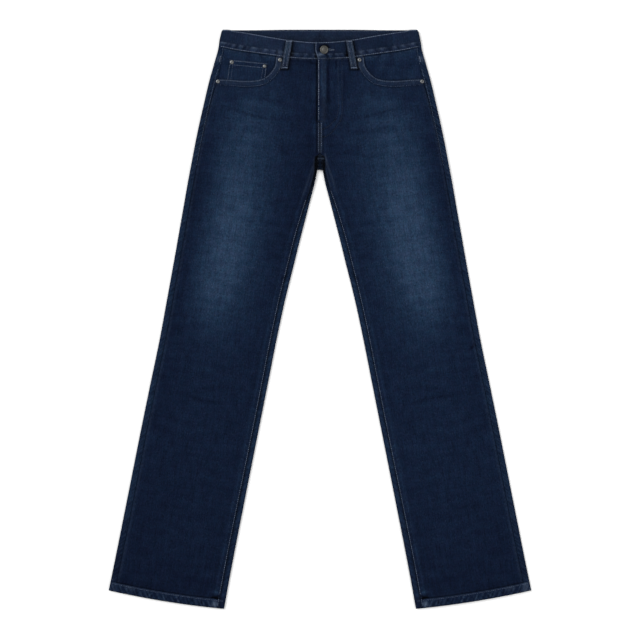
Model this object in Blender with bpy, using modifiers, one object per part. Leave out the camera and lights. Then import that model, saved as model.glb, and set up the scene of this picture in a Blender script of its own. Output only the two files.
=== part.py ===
"""Cigarette jeans laid flat with the front side up.

Frame: +X is the wearer's left, +Y runs up to the waist and +Z is up. The origin
is under the middle of the garment, on the surface that it lies on. "Left" and
"right" are the wearer's. A "drop" is a distance down from the waist's top edge,
and an "x" is a distance out from the centre line. Every size and table is in
millimetres, and place() turns them into metres.

Each leg is a flattened tube. The back panel runs under it from fold to fold and
comes round both folds to the seams on the front, and the front panel closes it.
"""

import math
from collections import namedtuple

import bmesh
import bpy
import numpy as np
from mathutils import Vector

MM = 0.001

# Whole garment
LENGTH = 1111.7          # waist edge to the lowest corner of the hem
HEM_OUTER_DROP = 1076.2  # outer corner of the hem
HEM_SLANT = LENGTH - HEM_OUTER_DROP  # how much lower a leg's section is at its inner fold
HEM_DEPTH = 17.3
HEM_BELLY = 3.5          # how far the hem's middle hangs below a straight line
CROTCH_DROP = 238.5      # where the four seams meet on the front
FORK_DROP = 270.0        # where the two legs part

# Walls and gaps
CLOTH = 1.2
BAND_CLOTH = 1.8         # two plies
HEM_CLOTH = 2.2          # turned twice
TRIM_CLOTH = 1.0
SEAM_GAP = 0.3
HALF_GAP = SEAM_GAP / 2
LAYER_GAP = 0.3

# Heights
LIFT = CLOTH + LAYER_GAP  # the seat lies on its pockets and belt loops
LIFT_END = 280.0          # the seat starts to come down to the surface
LIFT_FADE = 55.0
LOFT = 5.4                # a leg's height at its folds
HEM_LOFT = 6.0
CROWN = 0.6               # how much higher the middle of a leg is
UNDERLAP_STEP = -1.1      # the waistband's inner end against the rest of the band
OVERLAP_STEP = 1.0        # its outer end

# Front closure
FLY_EDGE_X = -5.2         # the left front passes the centre line to here
FLY_DROP = 175.3
OVERLAP_X = {"bottom": -4.4, "middle": -8.6, "top": -7.7}
UNDERLAP_X = 40.0
STEP_RUN = 12.0           # the length over which a band end rises or sinks
BUTTONHOLE = {"start": 5.2, "end": 28.0, "width": 3.6, "drop": 38.6}
BUTTON_AT = {"x": 7.9, "drop": 38.4}
BUTTON_RADIUS = 8.4
SHANK_RADIUS = 1.4
BUTTON_STEPS = 24
RIVET_RADIUS = 4.3
RIVET_STEPS = 16
RIVET_CLEARANCE = 0.1

Point = namedtuple("Point", "drop x")
OUTLINE = [
    Point(drop=0, x=188.8), Point(drop=19, x=193.0), Point(drop=38, x=196.0),
    Point(drop=58, x=201.6), Point(drop=77, x=207.0), Point(drop=96, x=212.4),
    Point(drop=134, x=221.4), Point(drop=173, x=230.4), Point(drop=211, x=238.5),
    Point(drop=250, x=246.0), Point(drop=288, x=253.2), Point(drop=365, x=266.9),
    Point(drop=442, x=280.5), Point(drop=518, x=294.3), Point(drop=595, x=308.5),
    Point(drop=672, x=324.5), Point(drop=749, x=340.4), Point(drop=902, x=370.9),
    Point(drop=1056, x=401.9), Point(drop=1076.2, x=406.1),
]
INSIDE_LEG = [
    Point(drop=270, x=4.6), Point(drop=288, x=8.4), Point(drop=326, x=18.4),
    Point(drop=365, x=28.6), Point(drop=403, x=38.4), Point(drop=442, x=48.0),
    Point(drop=518, x=66.9), Point(drop=595, x=83.5), Point(drop=672, x=98.7),
    Point(drop=749, x=114.0), Point(drop=902, x=144.4), Point(drop=1056, x=174.3),
    Point(drop=1111.7, x=184.3),
]
# How far in from the outer fold the side seam runs on the front
SIDE_STRIP = [
    Point(drop=32, x=10.2), Point(drop=98, x=15.4), Point(drop=135, x=12.4),
    Point(drop=250, x=12.0), Point(drop=330, x=10.6), Point(drop=1100, x=10.4),
]
# How far out from the inner fold the inseam runs on the front
INSEAM_STRIP = [
    Point(drop=274, x=4.1), Point(drop=288, x=5.0), Point(drop=300, x=5.4),
    Point(drop=311, x=5.9), Point(drop=323, x=7.3), Point(drop=334, x=8.3),
    Point(drop=346, x=9.0), Point(drop=365, x=9.8), Point(drop=390, x=10.6),
    Point(drop=420, x=11.3), Point(drop=1112, x=12.0),
]
# The front panel's edge from the crotch out to its place along the inside leg
CROTCH_CURVE = [
    Point(drop=238.5, x=HALF_GAP), Point(drop=241.5, x=6.0), Point(drop=244, x=7.9),
    Point(drop=250, x=8.6), Point(drop=258, x=9.0), Point(drop=268, x=9.2),
    Point(drop=274, x=9.4),
]

Across = namedtuple("Across", "x drop")
BAND_TOP = [
    Across(x=0, drop=23.6), Across(x=46, drop=21.5), Across(x=67, drop=19.2),
    Across(x=96, drop=14.5), Across(x=125, drop=8.6), Across(x=154, drop=3.0),
    Across(x=189, drop=0.4),
]
BAND_SEAM = [
    Across(x=0, drop=55.1), Across(x=50, drop=53.4), Across(x=86, drop=48.0),
    Across(x=131, drop=41.9), Across(x=154, drop=38.4), Across(x=185, drop=32.9),
    Across(x=200, drop=32.5),
]
SIDE_BAND_SEAM = 32.5

# Rows of the front panel down to the side seam: the pocket opening at the outer end
FrontRow = namedtuple("FrontRow", "outer_x outer_drop inner_drop")
POCKET_ROWS = [
    FrontRow(outer_x=85.4, outer_drop=66.2, inner_drop=73.0),
    FrontRow(outer_x=90.2, outer_drop=75.8, inner_drop=88.0),
    FrontRow(outer_x=98.9, outer_drop=86.4, inner_drop=103.0),
    FrontRow(outer_x=109.4, outer_drop=93.5, inner_drop=117.0),
    FrontRow(outer_x=124.8, outer_drop=97.0, inner_drop=130.0),
    FrontRow(outer_x=145.9, outer_drop=97.9, inner_drop=144.0),
    FrontRow(outer_x=172.8, outer_drop=95.8, inner_drop=160.0),
]
POCKET_START_X = 82.6
POCKET_END_DROP = 94.7
# Rows from the pocket down to the fork, by where they meet the two edges
HipRow = namedtuple("HipRow", "outer_drop inner_drop")
FRONT_HIP_ROWS = [
    HipRow(outer_drop=POCKET_END_DROP, inner_drop=FLY_DROP),
    HipRow(outer_drop=115, inner_drop=178.5), HipRow(outer_drop=135, inner_drop=195),
    HipRow(outer_drop=165, inner_drop=211), HipRow(outer_drop=189, inner_drop=226),
    HipRow(outer_drop=203, inner_drop=CROTCH_DROP),
    HipRow(outer_drop=206, inner_drop=241.5), HipRow(outer_drop=208.5, inner_drop=244),
    HipRow(outer_drop=214.5, inner_drop=250),
    HipRow(outer_drop=222.5, inner_drop=258), HipRow(outer_drop=234.5, inner_drop=270),
]
LEG_ROW_DROPS = [237, 262, 300, 340, 390, 450, 520, 600, 680, 760, 840, 920, 990, 1040]
# Rows of the seat: curl is how far the inner edge has turned up around the fork
SeatRow = namedtuple("SeatRow", "outer_drop curl")
YOKE_SIDE_DROP = 73.0
YOKE_CENTRE_DROP = 111.4
SEAT_ROWS = [
    SeatRow(outer_drop=95, curl=0), SeatRow(outer_drop=115, curl=0),
    SeatRow(outer_drop=135, curl=0), SeatRow(outer_drop=165, curl=0),
    SeatRow(outer_drop=189, curl=0), SeatRow(outer_drop=203, curl=0.4),
    SeatRow(outer_drop=208.5, curl=1), SeatRow(outer_drop=214.5, curl=1),
    SeatRow(outer_drop=222.5, curl=1),
    SeatRow(outer_drop=234.5, curl=1),
]

# Pieces on the front
Loop = namedtuple("Loop", "name x_top x_foot")
FRONT_LOOPS = [
    Loop(name="belt_loop_front_left", x_top=55.7, x_foot=65.3),
    Loop(name="belt_loop_front_right", x_top=-58.8, x_foot=-68.2),
]
LOOP_WIDTH = 12.6
LOOP_CLOTH = 1.2
LOOP_BOW = 1.2
LOOP_CLEARANCE = 0.1     # more than a layer's gap, because the loop bridges a crowned front
LOOP_TOP_DROP = 19.6
LOOP_FOOT_DROP = 73.5
BACK_LOOPS = {"belt_loop_back_left": 118.0, "belt_loop_back_centre": 0.0,
              "belt_loop_back_right": -118.0}
BACK_LOOP_DROPS = (1.0, 56.0)
RIVETS = {
    "rivet_pocket_left": (76.8, 57.6), "rivet_side_left": (196.0, 99.0),
    "rivet_pocket_right": (-76.8, 57.6), "rivet_side_right": (-196.0, 99.0),
}
COIN_RIVETS = {"rivet_coin_outer": (-169.3, 61.6), "rivet_coin_inner": (-106.4, 69.4)}
COIN_CORNERS = ((-173.8, 57.6), (-100.8, 64.9), (-110.0, 132.0), (-183.0, 126.0))
FACING_BOTTOM_DROP = 140.0
FACING_INNER_X = 66.0
FACING_TUCK = 4.0
FACING_CLEARANCE = 0.1

# Back pockets, under the seat: x and drop of the outline's corners
BACK_POCKET = {
    "top": ((45, 134), (111, 127), (178, 120)),
    "sides": ((49, 246), (111, 246), (172, 238)),
    "point": ((62, 254), (112, 270), (160, 247)),
}

# The zip and the shield behind it, hidden by the fly
SHIELD = {"left": 36.0, "right": -15.0, "top": 56.2, "bottom": 184.0}
ZIP_TAPE = {"left": 24.0, "right": -10.0, "top": 56.6, "bottom": 172.0}

FOLD_STEPS = 6

Finish = namedtuple("Finish", "colour roughness metallic")
FINISHES = {
    "denim": Finish(colour=(0.0137, 0.0285, 0.0685), roughness=0.9, metallic=0.0),
    "denim_trim": Finish(colour=(0.0180, 0.0330, 0.0650), roughness=0.9, metallic=0.0),
    "zip_tape": Finish(colour=(0.0100, 0.0150, 0.0300), roughness=0.8, metallic=0.0),
    "rivet_metal": Finish(colour=(0.55, 0.40, 0.24), roughness=0.35, metallic=1.0),
    "button_metal": Finish(colour=(0.36, 0.32, 0.26), roughness=0.4, metallic=1.0),
}


def smooth_read(table, at):
    """Reads a table of (position, value) rows at a position, along a smooth curve."""
    where, value = np.array([tuple(row) for row in table], float).T
    slope = np.gradient(value, where)
    k = int(np.clip(np.searchsorted(where, at) - 1, 0, len(where) - 2))
    span = where[k + 1] - where[k]
    t = min(max((at - where[k]) / span, 0.0), 1.0)
    start = (1 + 2 * t) * (1 - t) ** 2 * value[k] + t * (1 - t) ** 2 * span * slope[k]
    end = t * t * (3 - 2 * t) * value[k + 1] - t * t * (1 - t) * span * slope[k + 1]
    return float(start + end)


def ramp(at, start, end):
    """0 before start, 1 after end, and smooth between them."""
    t = min(max((at - start) / (end - start), 0.0), 1.0)
    return t * t * (3 - 2 * t)


def outline_x(drop):
    return smooth_read(OUTLINE, drop)


def inside_x(drop):
    """The inner fold of a leg, or the centre line above the fork."""
    return HALF_GAP if drop <= FORK_DROP + 0.1 else smooth_read(INSIDE_LEG, drop)


def side_seam_x(drop):
    return outline_x(drop) - smooth_read(SIDE_STRIP, drop)


def front_inner_x(drop):
    """The inner edge of a front panel below the fly."""
    if drop <= CROTCH_DROP:
        return HALF_GAP
    if drop <= CROTCH_CURVE[-1].drop:
        return float(np.interp(drop, *zip(*CROTCH_CURVE)))
    return inside_x(drop) + smooth_read(INSEAM_STRIP, drop)


def underside(drop):
    """Height of the back layer's lower face."""
    return LIFT * (1 - ramp(drop, LIFT_END, LIFT_END + LIFT_FADE))


def crown(x, drop):
    inner, outer = inside_x(drop), outline_x(drop)
    share = min(max((abs(x) - inner) / (outer - inner), 0.0), 1.0)
    return CROWN * math.sin(math.pi * share)


def top_height(x, drop):
    """Height of the front layer's upper face."""
    return underside(drop) + LOFT + crown(x, drop)


def place(x, drop, z):
    return Vector((x, LENGTH / 2 - drop, z)) * MM


# Meshes

def finish_object(name, mesh, finish, location=None):
    """An object in the garment's collection with its material."""
    if not mesh.materials:
        mesh.materials.append(bpy.data.materials[finish])
    piece = bpy.data.objects.new(name, mesh)
    if location is not None:
        piece.location = location
    bpy.data.collections["cigarette_jeans"].objects.link(piece)
    return piece


def mesh_of(name, form):
    """A mesh from a bmesh, which is then freed."""
    mesh = bpy.data.meshes.new(name)
    form.to_mesh(mesh)
    form.free()
    return mesh


def sheet(name, sections, wall, finish, outward, closed=False):
    """A cloth wall whose outer face passes through the sections, given as equal rows of points.

    outward is the direction that the first face of the first row looks in.
    """
    form = bmesh.new()
    rows, columns = len(sections), len(sections[0])
    bmesh.ops.create_grid(form, x_segments=columns - 1, y_segments=rows - 1, size=1)
    form.verts.ensure_lookup_table()
    for number, vertex in enumerate(form.verts):
        vertex.co = sections[number // columns][number % columns]
    if closed:
        bmesh.ops.remove_doubles(form, verts=form.verts[:], dist=0.00001)
    form.faces.ensure_lookup_table()
    form.normal_update()
    if form.faces[0].normal.dot(Vector(outward)) < 0:
        bmesh.ops.reverse_faces(form, faces=form.faces[:])
    piece = finish_object(name, mesh_of(name, form), finish)
    shell = piece.modifiers.new("wall", "SOLIDIFY")
    shell.thickness = wall * MM
    shell.offset = -1
    shell.use_even_offset = True
    return piece


def profile_mesh(name, profile):
    """A line through (radius, height) points that run down a turned piece's outer side."""
    form = bmesh.new()
    points = [form.verts.new(Vector((radius, 0, height)) * MM) for radius, height in profile]
    for upper, lower in zip(points, points[1:]):
        form.edges.new((upper, lower))
    return mesh_of(name, form)


def turned(name, mesh, steps, finish, location):
    """A round piece turned from a profile's mesh."""
    piece = finish_object(name, mesh, finish, location)
    screw = piece.modifiers.new("turn", "SCREW")
    screw.steps = steps
    screw.render_steps = steps
    screw.use_merge_vertices = True
    screw.merge_threshold = 0.00001
    return piece


# Sections

Section = namedtuple("Section", "side outer_x outer_drop inner_x inner_drop belly")


def leg_section(side, outer_drop, belly=0.0):
    """A slanted section across one leg, parallel to its hem."""
    inner_drop = outer_drop + HEM_SLANT
    return Section(side, outline_x(outer_drop), outer_drop, inside_x(inner_drop), inner_drop, belly)


def section_width(section):
    return math.hypot(section.outer_x - section.inner_x, section.inner_drop - section.outer_drop)


def section_point(section, run):
    """x and drop at a distance in from the outer fold, along the section."""
    share = run / section_width(section)
    x = section.outer_x + (section.inner_x - section.outer_x) * share
    drop = section.outer_drop + (section.inner_drop - section.outer_drop) * share
    return x, drop + section.belly * 4 * share * (1 - share)


def fold_points(radius, low, turned_in):
    """(run, height) of a fold from its top to its bottom, or back if turned_in is set."""
    angles = [math.pi * step / FOLD_STEPS for step in range(FOLD_STEPS + 1)]
    points = [(radius * (1 - math.sin(a)), low + radius * (1 + math.cos(a))) for a in angles]
    return points[::-1] if turned_in else points


def outer_strip_run(section):
    """How far in from the outer fold the section meets the side seam."""
    run = 12.0
    for _ in range(8):
        x, drop = section_point(section, run)
        run += (x - side_seam_x(drop)) * section_width(section) / (section.outer_x - section.inner_x)
    return run


def inner_strip_run(section):
    """How far out from the inner fold the section meets the front panel's inner edge."""
    width = section_width(section)
    run = INSEAM_STRIP[-1].x
    for _ in range(8):
        x, drop = section_point(section, width - run)
        run += (front_inner_x(drop) - SEAM_GAP - x) * width / (section.outer_x - section.inner_x)
    return run


def back_section(section, curl, loft=LOFT):
    """The back layer's outer face, from the side seam round both folds to the inseam."""
    width = section_width(section)
    radius = loft / 2

    def stand(run, height=None):
        x, drop = section_point(section, run)
        level = top_height(x, drop) if height is None else height + underside(drop)
        return place(section.side * x, drop, level)

    outer = [stand(outer_strip_run(section))]
    outer += [stand(run, height) for run, height in fold_points(radius, 0, False)]
    middle = [stand(width * share, 0.0) for share in (0.25, 0.5, 0.75)]
    curled = [stand(width - run, height) for run, height in fold_points(radius, 0, True)]
    curled.append(stand(width - (inner_strip_run(section) if curl == 1 else 2 * radius)))
    flat_runs = np.linspace(width - 1.2 * radius, width, len(curled))
    flat = [stand(run, 0.0) for run in flat_runs]
    inner = [low.lerp(high, curl) for low, high in zip(flat, curled)]
    return outer + middle + inner


def hem_ring_section(side, outer_drop, belly):
    """One closed line round the turned hem of a leg, from the outer fold's top."""
    section = leg_section(side, outer_drop, belly)
    width = section_width(section)
    radius = HEM_LOFT / 2

    def stand(run, height):
        x, drop = section_point(section, run)
        return place(side * x, drop, height)

    top = [(width * share, HEM_LOFT + CROWN * math.sin(math.pi * share)) for share in (0.75, 0.5, 0.25)]
    line = fold_points(radius, 0, False)
    line += [(width * share, 0.0) for share in (0.25, 0.5, 0.75)]
    line += [(width - run, height) for run, height in fold_points(radius, 0, True)]
    line += top + line[:1]
    return [stand(run, height) for run, height in line]


# Pieces

LEG_END_DROP = HEM_OUTER_DROP - HEM_DEPTH - SEAM_GAP


def leg_belly(outer_drop):
    return HEM_BELLY * ramp(outer_drop, 900, LEG_END_DROP)


def build_back(name, side):
    """Back leg and seat, with its strips on the front."""
    top = Section(side, outline_x(YOKE_SIDE_DROP + HALF_GAP), YOKE_SIDE_DROP + HALF_GAP,
                  HALF_GAP, YOKE_CENTRE_DROP + HALF_GAP, 0.0)
    sections = [back_section(top, 0)]
    for row in SEAT_ROWS:
        sections.append(back_section(leg_section(side, row.outer_drop), row.curl))
    for drop in LEG_ROW_DROPS + [LEG_END_DROP]:
        sections.append(back_section(leg_section(side, drop, leg_belly(drop)), 1))
    sheet(name, sections, CLOTH, "denim", (0, 0, 1))


def build_yoke(name, side):
    """The yoke between the waistband and the seat, with its strip on the front."""
    top = SIDE_BAND_SEAM + SEAM_GAP
    sections = []
    for share in (0.0, 0.5, 1.0):
        outer_drop = top + (YOKE_SIDE_DROP - HALF_GAP - top) * share
        inner_drop = top + (YOKE_CENTRE_DROP - HALF_GAP - top) * share
        section = Section(side, outline_x(outer_drop), outer_drop, HALF_GAP, inner_drop, 0.0)
        line = back_section(section, 0)
        if share == 0.0:
            x, _ = section_point(section, outer_strip_run(section))
            line[0] = place(side * x, smooth_read(BAND_SEAM, x) + SEAM_GAP, top_height(x, outer_drop))
        sections.append(line)
    sheet(name, sections, CLOTH, "denim", (0, 0, 1))


def front_line(side, outer, inner, along_band=False):
    """Seven points of a front panel between two (x, drop) ends."""
    line = []
    for step in range(7):
        share = step / 6
        x = outer[0] + (inner[0] - outer[0]) * share
        drop = outer[1] + (inner[1] - outer[1]) * share
        if along_band:
            drop = smooth_read(BAND_SEAM, abs(x)) + SEAM_GAP
        line.append(place(side * x, drop, top_height(x, drop)))
    return line


def build_front(name, side):
    """Front panel: the left one passes the centre line as the fly."""
    fly_x = FLY_EDGE_X if side > 0 else -FLY_EDGE_X + SEAM_GAP
    lines = [front_line(side, (POCKET_START_X, 0), (fly_x, 0), along_band=True)]
    for row in POCKET_ROWS:
        lines.append(front_line(side, (row.outer_x, row.outer_drop), (fly_x, row.inner_drop)))
    for row in FRONT_HIP_ROWS:
        outer_x = side_seam_x(row.outer_drop) - SEAM_GAP
        inner_x = fly_x if row.inner_drop <= FLY_DROP else front_inner_x(row.inner_drop)
        lines.append(front_line(side, (outer_x, row.outer_drop), (inner_x, row.inner_drop)))
    for drop in LEG_ROW_DROPS + [LEG_END_DROP]:
        section = leg_section(side, drop, leg_belly(drop))
        width = section_width(section)
        start = outer_strip_run(section) + SEAM_GAP
        end = width - inner_strip_run(section) - SEAM_GAP
        line = []
        for step in range(7):
            x, point_drop = section_point(section, start + (end - start) * step / 6)
            line.append(place(side * x, point_drop, top_height(x, point_drop)))
        lines.append(line)
    sheet(name, lines, CLOTH, "denim", (0, 0, 1))


def build_hem(name, side):
    sections = [hem_ring_section(side, HEM_OUTER_DROP - HEM_DEPTH, HEM_BELLY),
                hem_ring_section(side, HEM_OUTER_DROP, HEM_BELLY)]
    sheet(name, sections, HEM_CLOTH, "denim", (side, 0, 1), closed=True)


def band_step(side, x):
    """How far the band is above or below its usual height near its end on the front."""
    if side > 0:
        return OVERLAP_STEP * (1 - ramp(x, UNDERLAP_X + 1, UNDERLAP_X + 1 + STEP_RUN))
    over_end = -OVERLAP_X["middle"]
    return UNDERLAP_STEP * (1 - ramp(x, over_end + 2, over_end + 2 + 2 * STEP_RUN))


def band_line(side, level):
    """One line along a half of the waistband, from its end on the front to the centre back."""
    rise = {"bottom": 0.0, "middle": 0.5, "top": 1.0}[level]
    radius = LOFT / 2
    seam_edge = outline_x(SIDE_BAND_SEAM * (1 - rise)) - radius
    end_x = OVERLAP_X[level] if side > 0 else -UNDERLAP_X
    stops = [10, 24, 41, 53, 70, 95, 125, 155] if side > 0 else [-20, 0, 10, 23, 35, 60, 95, 125, 155]
    stops.append(side_seam_x(SIDE_BAND_SEAM))
    points = []
    for x in [end_x] + stops + [seam_edge]:
        bottom = smooth_read(BAND_SEAM, abs(x))
        drop = bottom + (smooth_read(BAND_TOP, abs(x)) - bottom) * rise
        points.append(place(side * x, drop, top_height(x, drop) + band_step(side, x)))
    side_drop = SIDE_BAND_SEAM * (1 - rise)
    for run, height in fold_points(radius, 0, False)[1:]:
        points.append(place(side * (seam_edge + radius - run), side_drop, height + LIFT))
    for x in (150, 60, HALF_GAP):
        points.append(place(side * x, side_drop, LIFT))
    return points


def build_waistband(name, side):
    lines = [band_line(side, level) for level in ("bottom", "middle", "top")]
    band = sheet(name, lines, BAND_CLOTH, "denim", (0, 0, 1))
    if side > 0:
        cut_buttonhole(band)


def cut_buttonhole(band):
    """The slot with round ends that the button's shank passes through."""
    radius = BUTTONHOLE["width"] / 2
    depth = 3 * BAND_CLOTH
    form = bmesh.new()
    bmesh.ops.create_cone(form, cap_ends=True, segments=12, radius1=radius * MM,
                          radius2=radius * MM, depth=depth * MM)
    stretch = (BUTTONHOLE["end"] - BUTTONHOLE["start"] - 2 * radius) * MM
    far_half = [v for v in form.verts if v.co.x > 0.1 * radius * MM]
    bmesh.ops.translate(form, verts=far_half, vec=(stretch, 0, 0))
    cutter = bpy.data.objects.new("buttonhole_cutter", mesh_of("buttonhole_cutter", form))
    start_x = BUTTONHOLE["start"] + radius
    height = top_height(start_x, BUTTONHOLE["drop"]) + OVERLAP_STEP - BAND_CLOTH / 2
    cutter.location = place(start_x, BUTTONHOLE["drop"], height)
    cutter.hide_render = True
    cutter.display_type = "WIRE"
    bpy.data.collections["cutters"].objects.link(cutter)
    slot = band.modifiers.new("buttonhole", "BOOLEAN")
    slot.operation = "DIFFERENCE"
    slot.solver = "EXACT"
    slot.object = cutter


FACING_TOP = LIFT + CLOTH + LAYER_GAP + FACING_CLEARANCE + TRIM_CLOTH
COIN_TOP = FACING_TOP + LAYER_GAP + TRIM_CLOTH


def build_facing(name, side):
    """The denim behind a front pocket's opening, tucked under all that is round it."""
    top_run = side_seam_x(SIDE_BAND_SEAM) - FACING_INNER_X
    lines = []
    for share in (0.0, 0.5, 1.0):
        line = []
        for step in range(6):
            level = step / 5
            top = smooth_read(BAND_SEAM, FACING_INNER_X + top_run * level) - FACING_TUCK
            top = max(top, SIDE_BAND_SEAM + 2 * SEAM_GAP)
            drop = top + (FACING_BOTTOM_DROP - top) * share
            outer = side_seam_x(drop) + FACING_TUCK
            x = FACING_INNER_X + (outer - FACING_INNER_X) * level
            line.append(place(side * x, drop, FACING_TOP))
        lines.append(line)
    sheet(name, lines, TRIM_CLOTH, "denim", (0, 0, 1))


def patch(name, corners, top, wall, finish="denim"):
    """A flat four-cornered piece: corners are (x, drop) in turn round it."""
    first, second, third, fourth = [place(x, drop, top) for x, drop in corners]
    sheet(name, [[first, second], [fourth, third]], wall, finish, (0, 0, 1))


def build_back_pocket(name, side):
    lines = [[place(side * x, drop, 0) for x, drop in BACK_POCKET[level]]
             for level in ("top", "sides", "point")]
    sheet(name, lines, CLOTH, "denim", (0, 0, -1))


def strip_corners(strip):
    return ((strip["right"], strip["top"]), (strip["left"], strip["top"]),
            (strip["left"], strip["bottom"]), (strip["right"], strip["bottom"]))


def build_closure():
    """The fly's shield and the closed zip on it."""
    shield_top = LIFT + CLOTH + LAYER_GAP + TRIM_CLOTH
    patch("fly_shield", strip_corners(SHIELD), shield_top, TRIM_CLOTH)
    zip_top = shield_top + LAYER_GAP + TRIM_CLOTH
    patch("zip", strip_corners(ZIP_TAPE), zip_top, TRIM_CLOTH, "zip_tape")


def build_front_loop(loop):
    """A belt loop sewn down at both ends, with a slight bow between them."""
    lines = []
    for share in (0.0, 0.12, 0.35, 0.65, 0.88, 1.0):
        drop = LOOP_TOP_DROP + (LOOP_FOOT_DROP - LOOP_TOP_DROP) * share
        x = loop.x_top + (loop.x_foot - loop.x_top) * share
        bow = LOOP_BOW * ramp(share, 0.1, 0.4) * (1 - ramp(share, 0.6, 0.9))
        line = []
        for edge in (-0.5, 0.5):
            edge_x = x + edge * LOOP_WIDTH
            height = top_height(x, drop) + LAYER_GAP + bow + LOOP_CLOTH
            line.append(place(edge_x, drop, height + LOOP_CLEARANCE))
        lines.append(line)
    sheet(loop.name, lines, LOOP_CLOTH, "denim_trim", (0, 0, 1))


def build_back_loop(name, x):
    half = LOOP_WIDTH / 2
    corners = ((x - half, BACK_LOOP_DROPS[0]), (x + half, BACK_LOOP_DROPS[0]),
               (x + half, BACK_LOOP_DROPS[1]), (x - half, BACK_LOOP_DROPS[1]))
    patch(name, corners, LOOP_CLOTH, LOOP_CLOTH, "denim_trim")


def build_rivets():
    """Domed heads: each rivet stands clear of the crowned cloth under its rim."""
    head = profile_mesh("rivet_head", [(0, 1.5), (2.0, 1.3), (3.4, 0.9), (RIVET_RADIUS, 0.4),
                                       (RIVET_RADIUS, 0), (0, 0)])
    for name, (x, drop) in RIVETS.items():
        seat = top_height(x, drop) + LAYER_GAP + RIVET_CLEARANCE
        turned(name, head, RIVET_STEPS, "rivet_metal", place(x, drop, seat))
    for name, (x, drop) in COIN_RIVETS.items():
        turned(name, head, RIVET_STEPS, "rivet_metal", place(x, drop, COIN_TOP + LAYER_GAP))


def build_button():
    """Shank button: the shank stands on the band's inner end and passes the buttonhole."""
    x, drop = BUTTON_AT["x"], BUTTON_AT["drop"]
    foot = top_height(x, drop) + UNDERLAP_STEP + LAYER_GAP
    cap = top_height(x, drop) + OVERLAP_STEP + LAYER_GAP - foot
    outline = profile_mesh("button_outline", [
        (0, cap + 3.0), (4.0, cap + 2.8), (6.6, cap + 2.2), (7.9, cap + 1.4),
        (BUTTON_RADIUS, cap + 0.7), (7.9, cap), (SHANK_RADIUS, cap), (SHANK_RADIUS, 0), (0, 0)])
    turned("button", outline, BUTTON_STEPS, "button_metal", place(x, drop, foot))


def make_materials():
    for name, finish in FINISHES.items():
        material = bpy.data.materials.new(name)
        material.use_nodes = True
        shader = material.node_tree.nodes["Principled BSDF"]
        shader.inputs["Base Color"].default_value = (*finish.colour, 1)
        shader.inputs["Roughness"].default_value = finish.roughness
        shader.inputs["Metallic"].default_value = finish.metallic


def build_jeans():
    for old in list(bpy.data.objects):
        bpy.data.objects.remove(old, do_unlink=True)
    for name in ("cigarette_jeans", "cutters"):
        bpy.context.scene.collection.children.link(bpy.data.collections.new(name))
    make_materials()
    for side_name, side in (("left", 1), ("right", -1)):
        build_back(f"back_{side_name}", side)
        build_yoke(f"yoke_{side_name}", side)
        build_front(f"front_{side_name}", side)
        build_hem(f"hem_{side_name}", side)
        build_waistband(f"waistband_{side_name}", side)
        build_facing(f"pocket_facing_{side_name}", side)
        build_back_pocket(f"back_pocket_{side_name}", side)
    patch("coin_pocket", COIN_CORNERS, COIN_TOP, TRIM_CLOTH)
    build_closure()
    for loop in FRONT_LOOPS:
        build_front_loop(loop)
    for name, x in BACK_LOOPS.items():
        build_back_loop(name, x)
    build_rivets()
    build_button()


build_jeans()
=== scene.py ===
"""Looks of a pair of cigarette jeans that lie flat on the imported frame, front up.

Frame: +X is the wearer's left, +Y runs up to the waist and +Z is up. A "drop" is a
distance down from the waist's top edge, and an "out" is a distance from the centre
line towards the outer side of a leg. Drafting is in millimetres, with heights above
the floor, and laid() turns it into metres in the frame.
"""

import logging
import math
from collections.abc import Callable, Iterable
from dataclasses import dataclass, field, fields
from enum import Enum
from typing import ClassVar

import bmesh
import bpy
import numpy as np
from mathutils import Matrix, Vector


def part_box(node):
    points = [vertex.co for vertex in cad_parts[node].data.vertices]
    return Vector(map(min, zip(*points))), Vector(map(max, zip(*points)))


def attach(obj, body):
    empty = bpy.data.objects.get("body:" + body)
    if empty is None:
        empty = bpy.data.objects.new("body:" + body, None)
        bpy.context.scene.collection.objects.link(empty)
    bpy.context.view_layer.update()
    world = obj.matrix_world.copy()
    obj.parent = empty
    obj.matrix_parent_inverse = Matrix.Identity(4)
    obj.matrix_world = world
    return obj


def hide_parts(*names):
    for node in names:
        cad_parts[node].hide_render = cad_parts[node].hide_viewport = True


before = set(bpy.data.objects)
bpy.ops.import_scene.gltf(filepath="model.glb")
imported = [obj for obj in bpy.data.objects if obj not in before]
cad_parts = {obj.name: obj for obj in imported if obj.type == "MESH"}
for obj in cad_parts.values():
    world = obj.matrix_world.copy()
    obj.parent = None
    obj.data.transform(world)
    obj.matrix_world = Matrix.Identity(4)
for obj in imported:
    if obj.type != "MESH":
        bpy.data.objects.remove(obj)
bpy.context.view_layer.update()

log = logging.getLogger("jeans")

Array = np.ndarray
Table = tuple[tuple[float, float], ...]
HeightRule = Callable[[Array, Array], Array]

MM = 0.001
ALL_RIMS = (np.s_[:, 0], np.s_[:, -1], np.s_[0, :], np.s_[-1, :])

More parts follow.
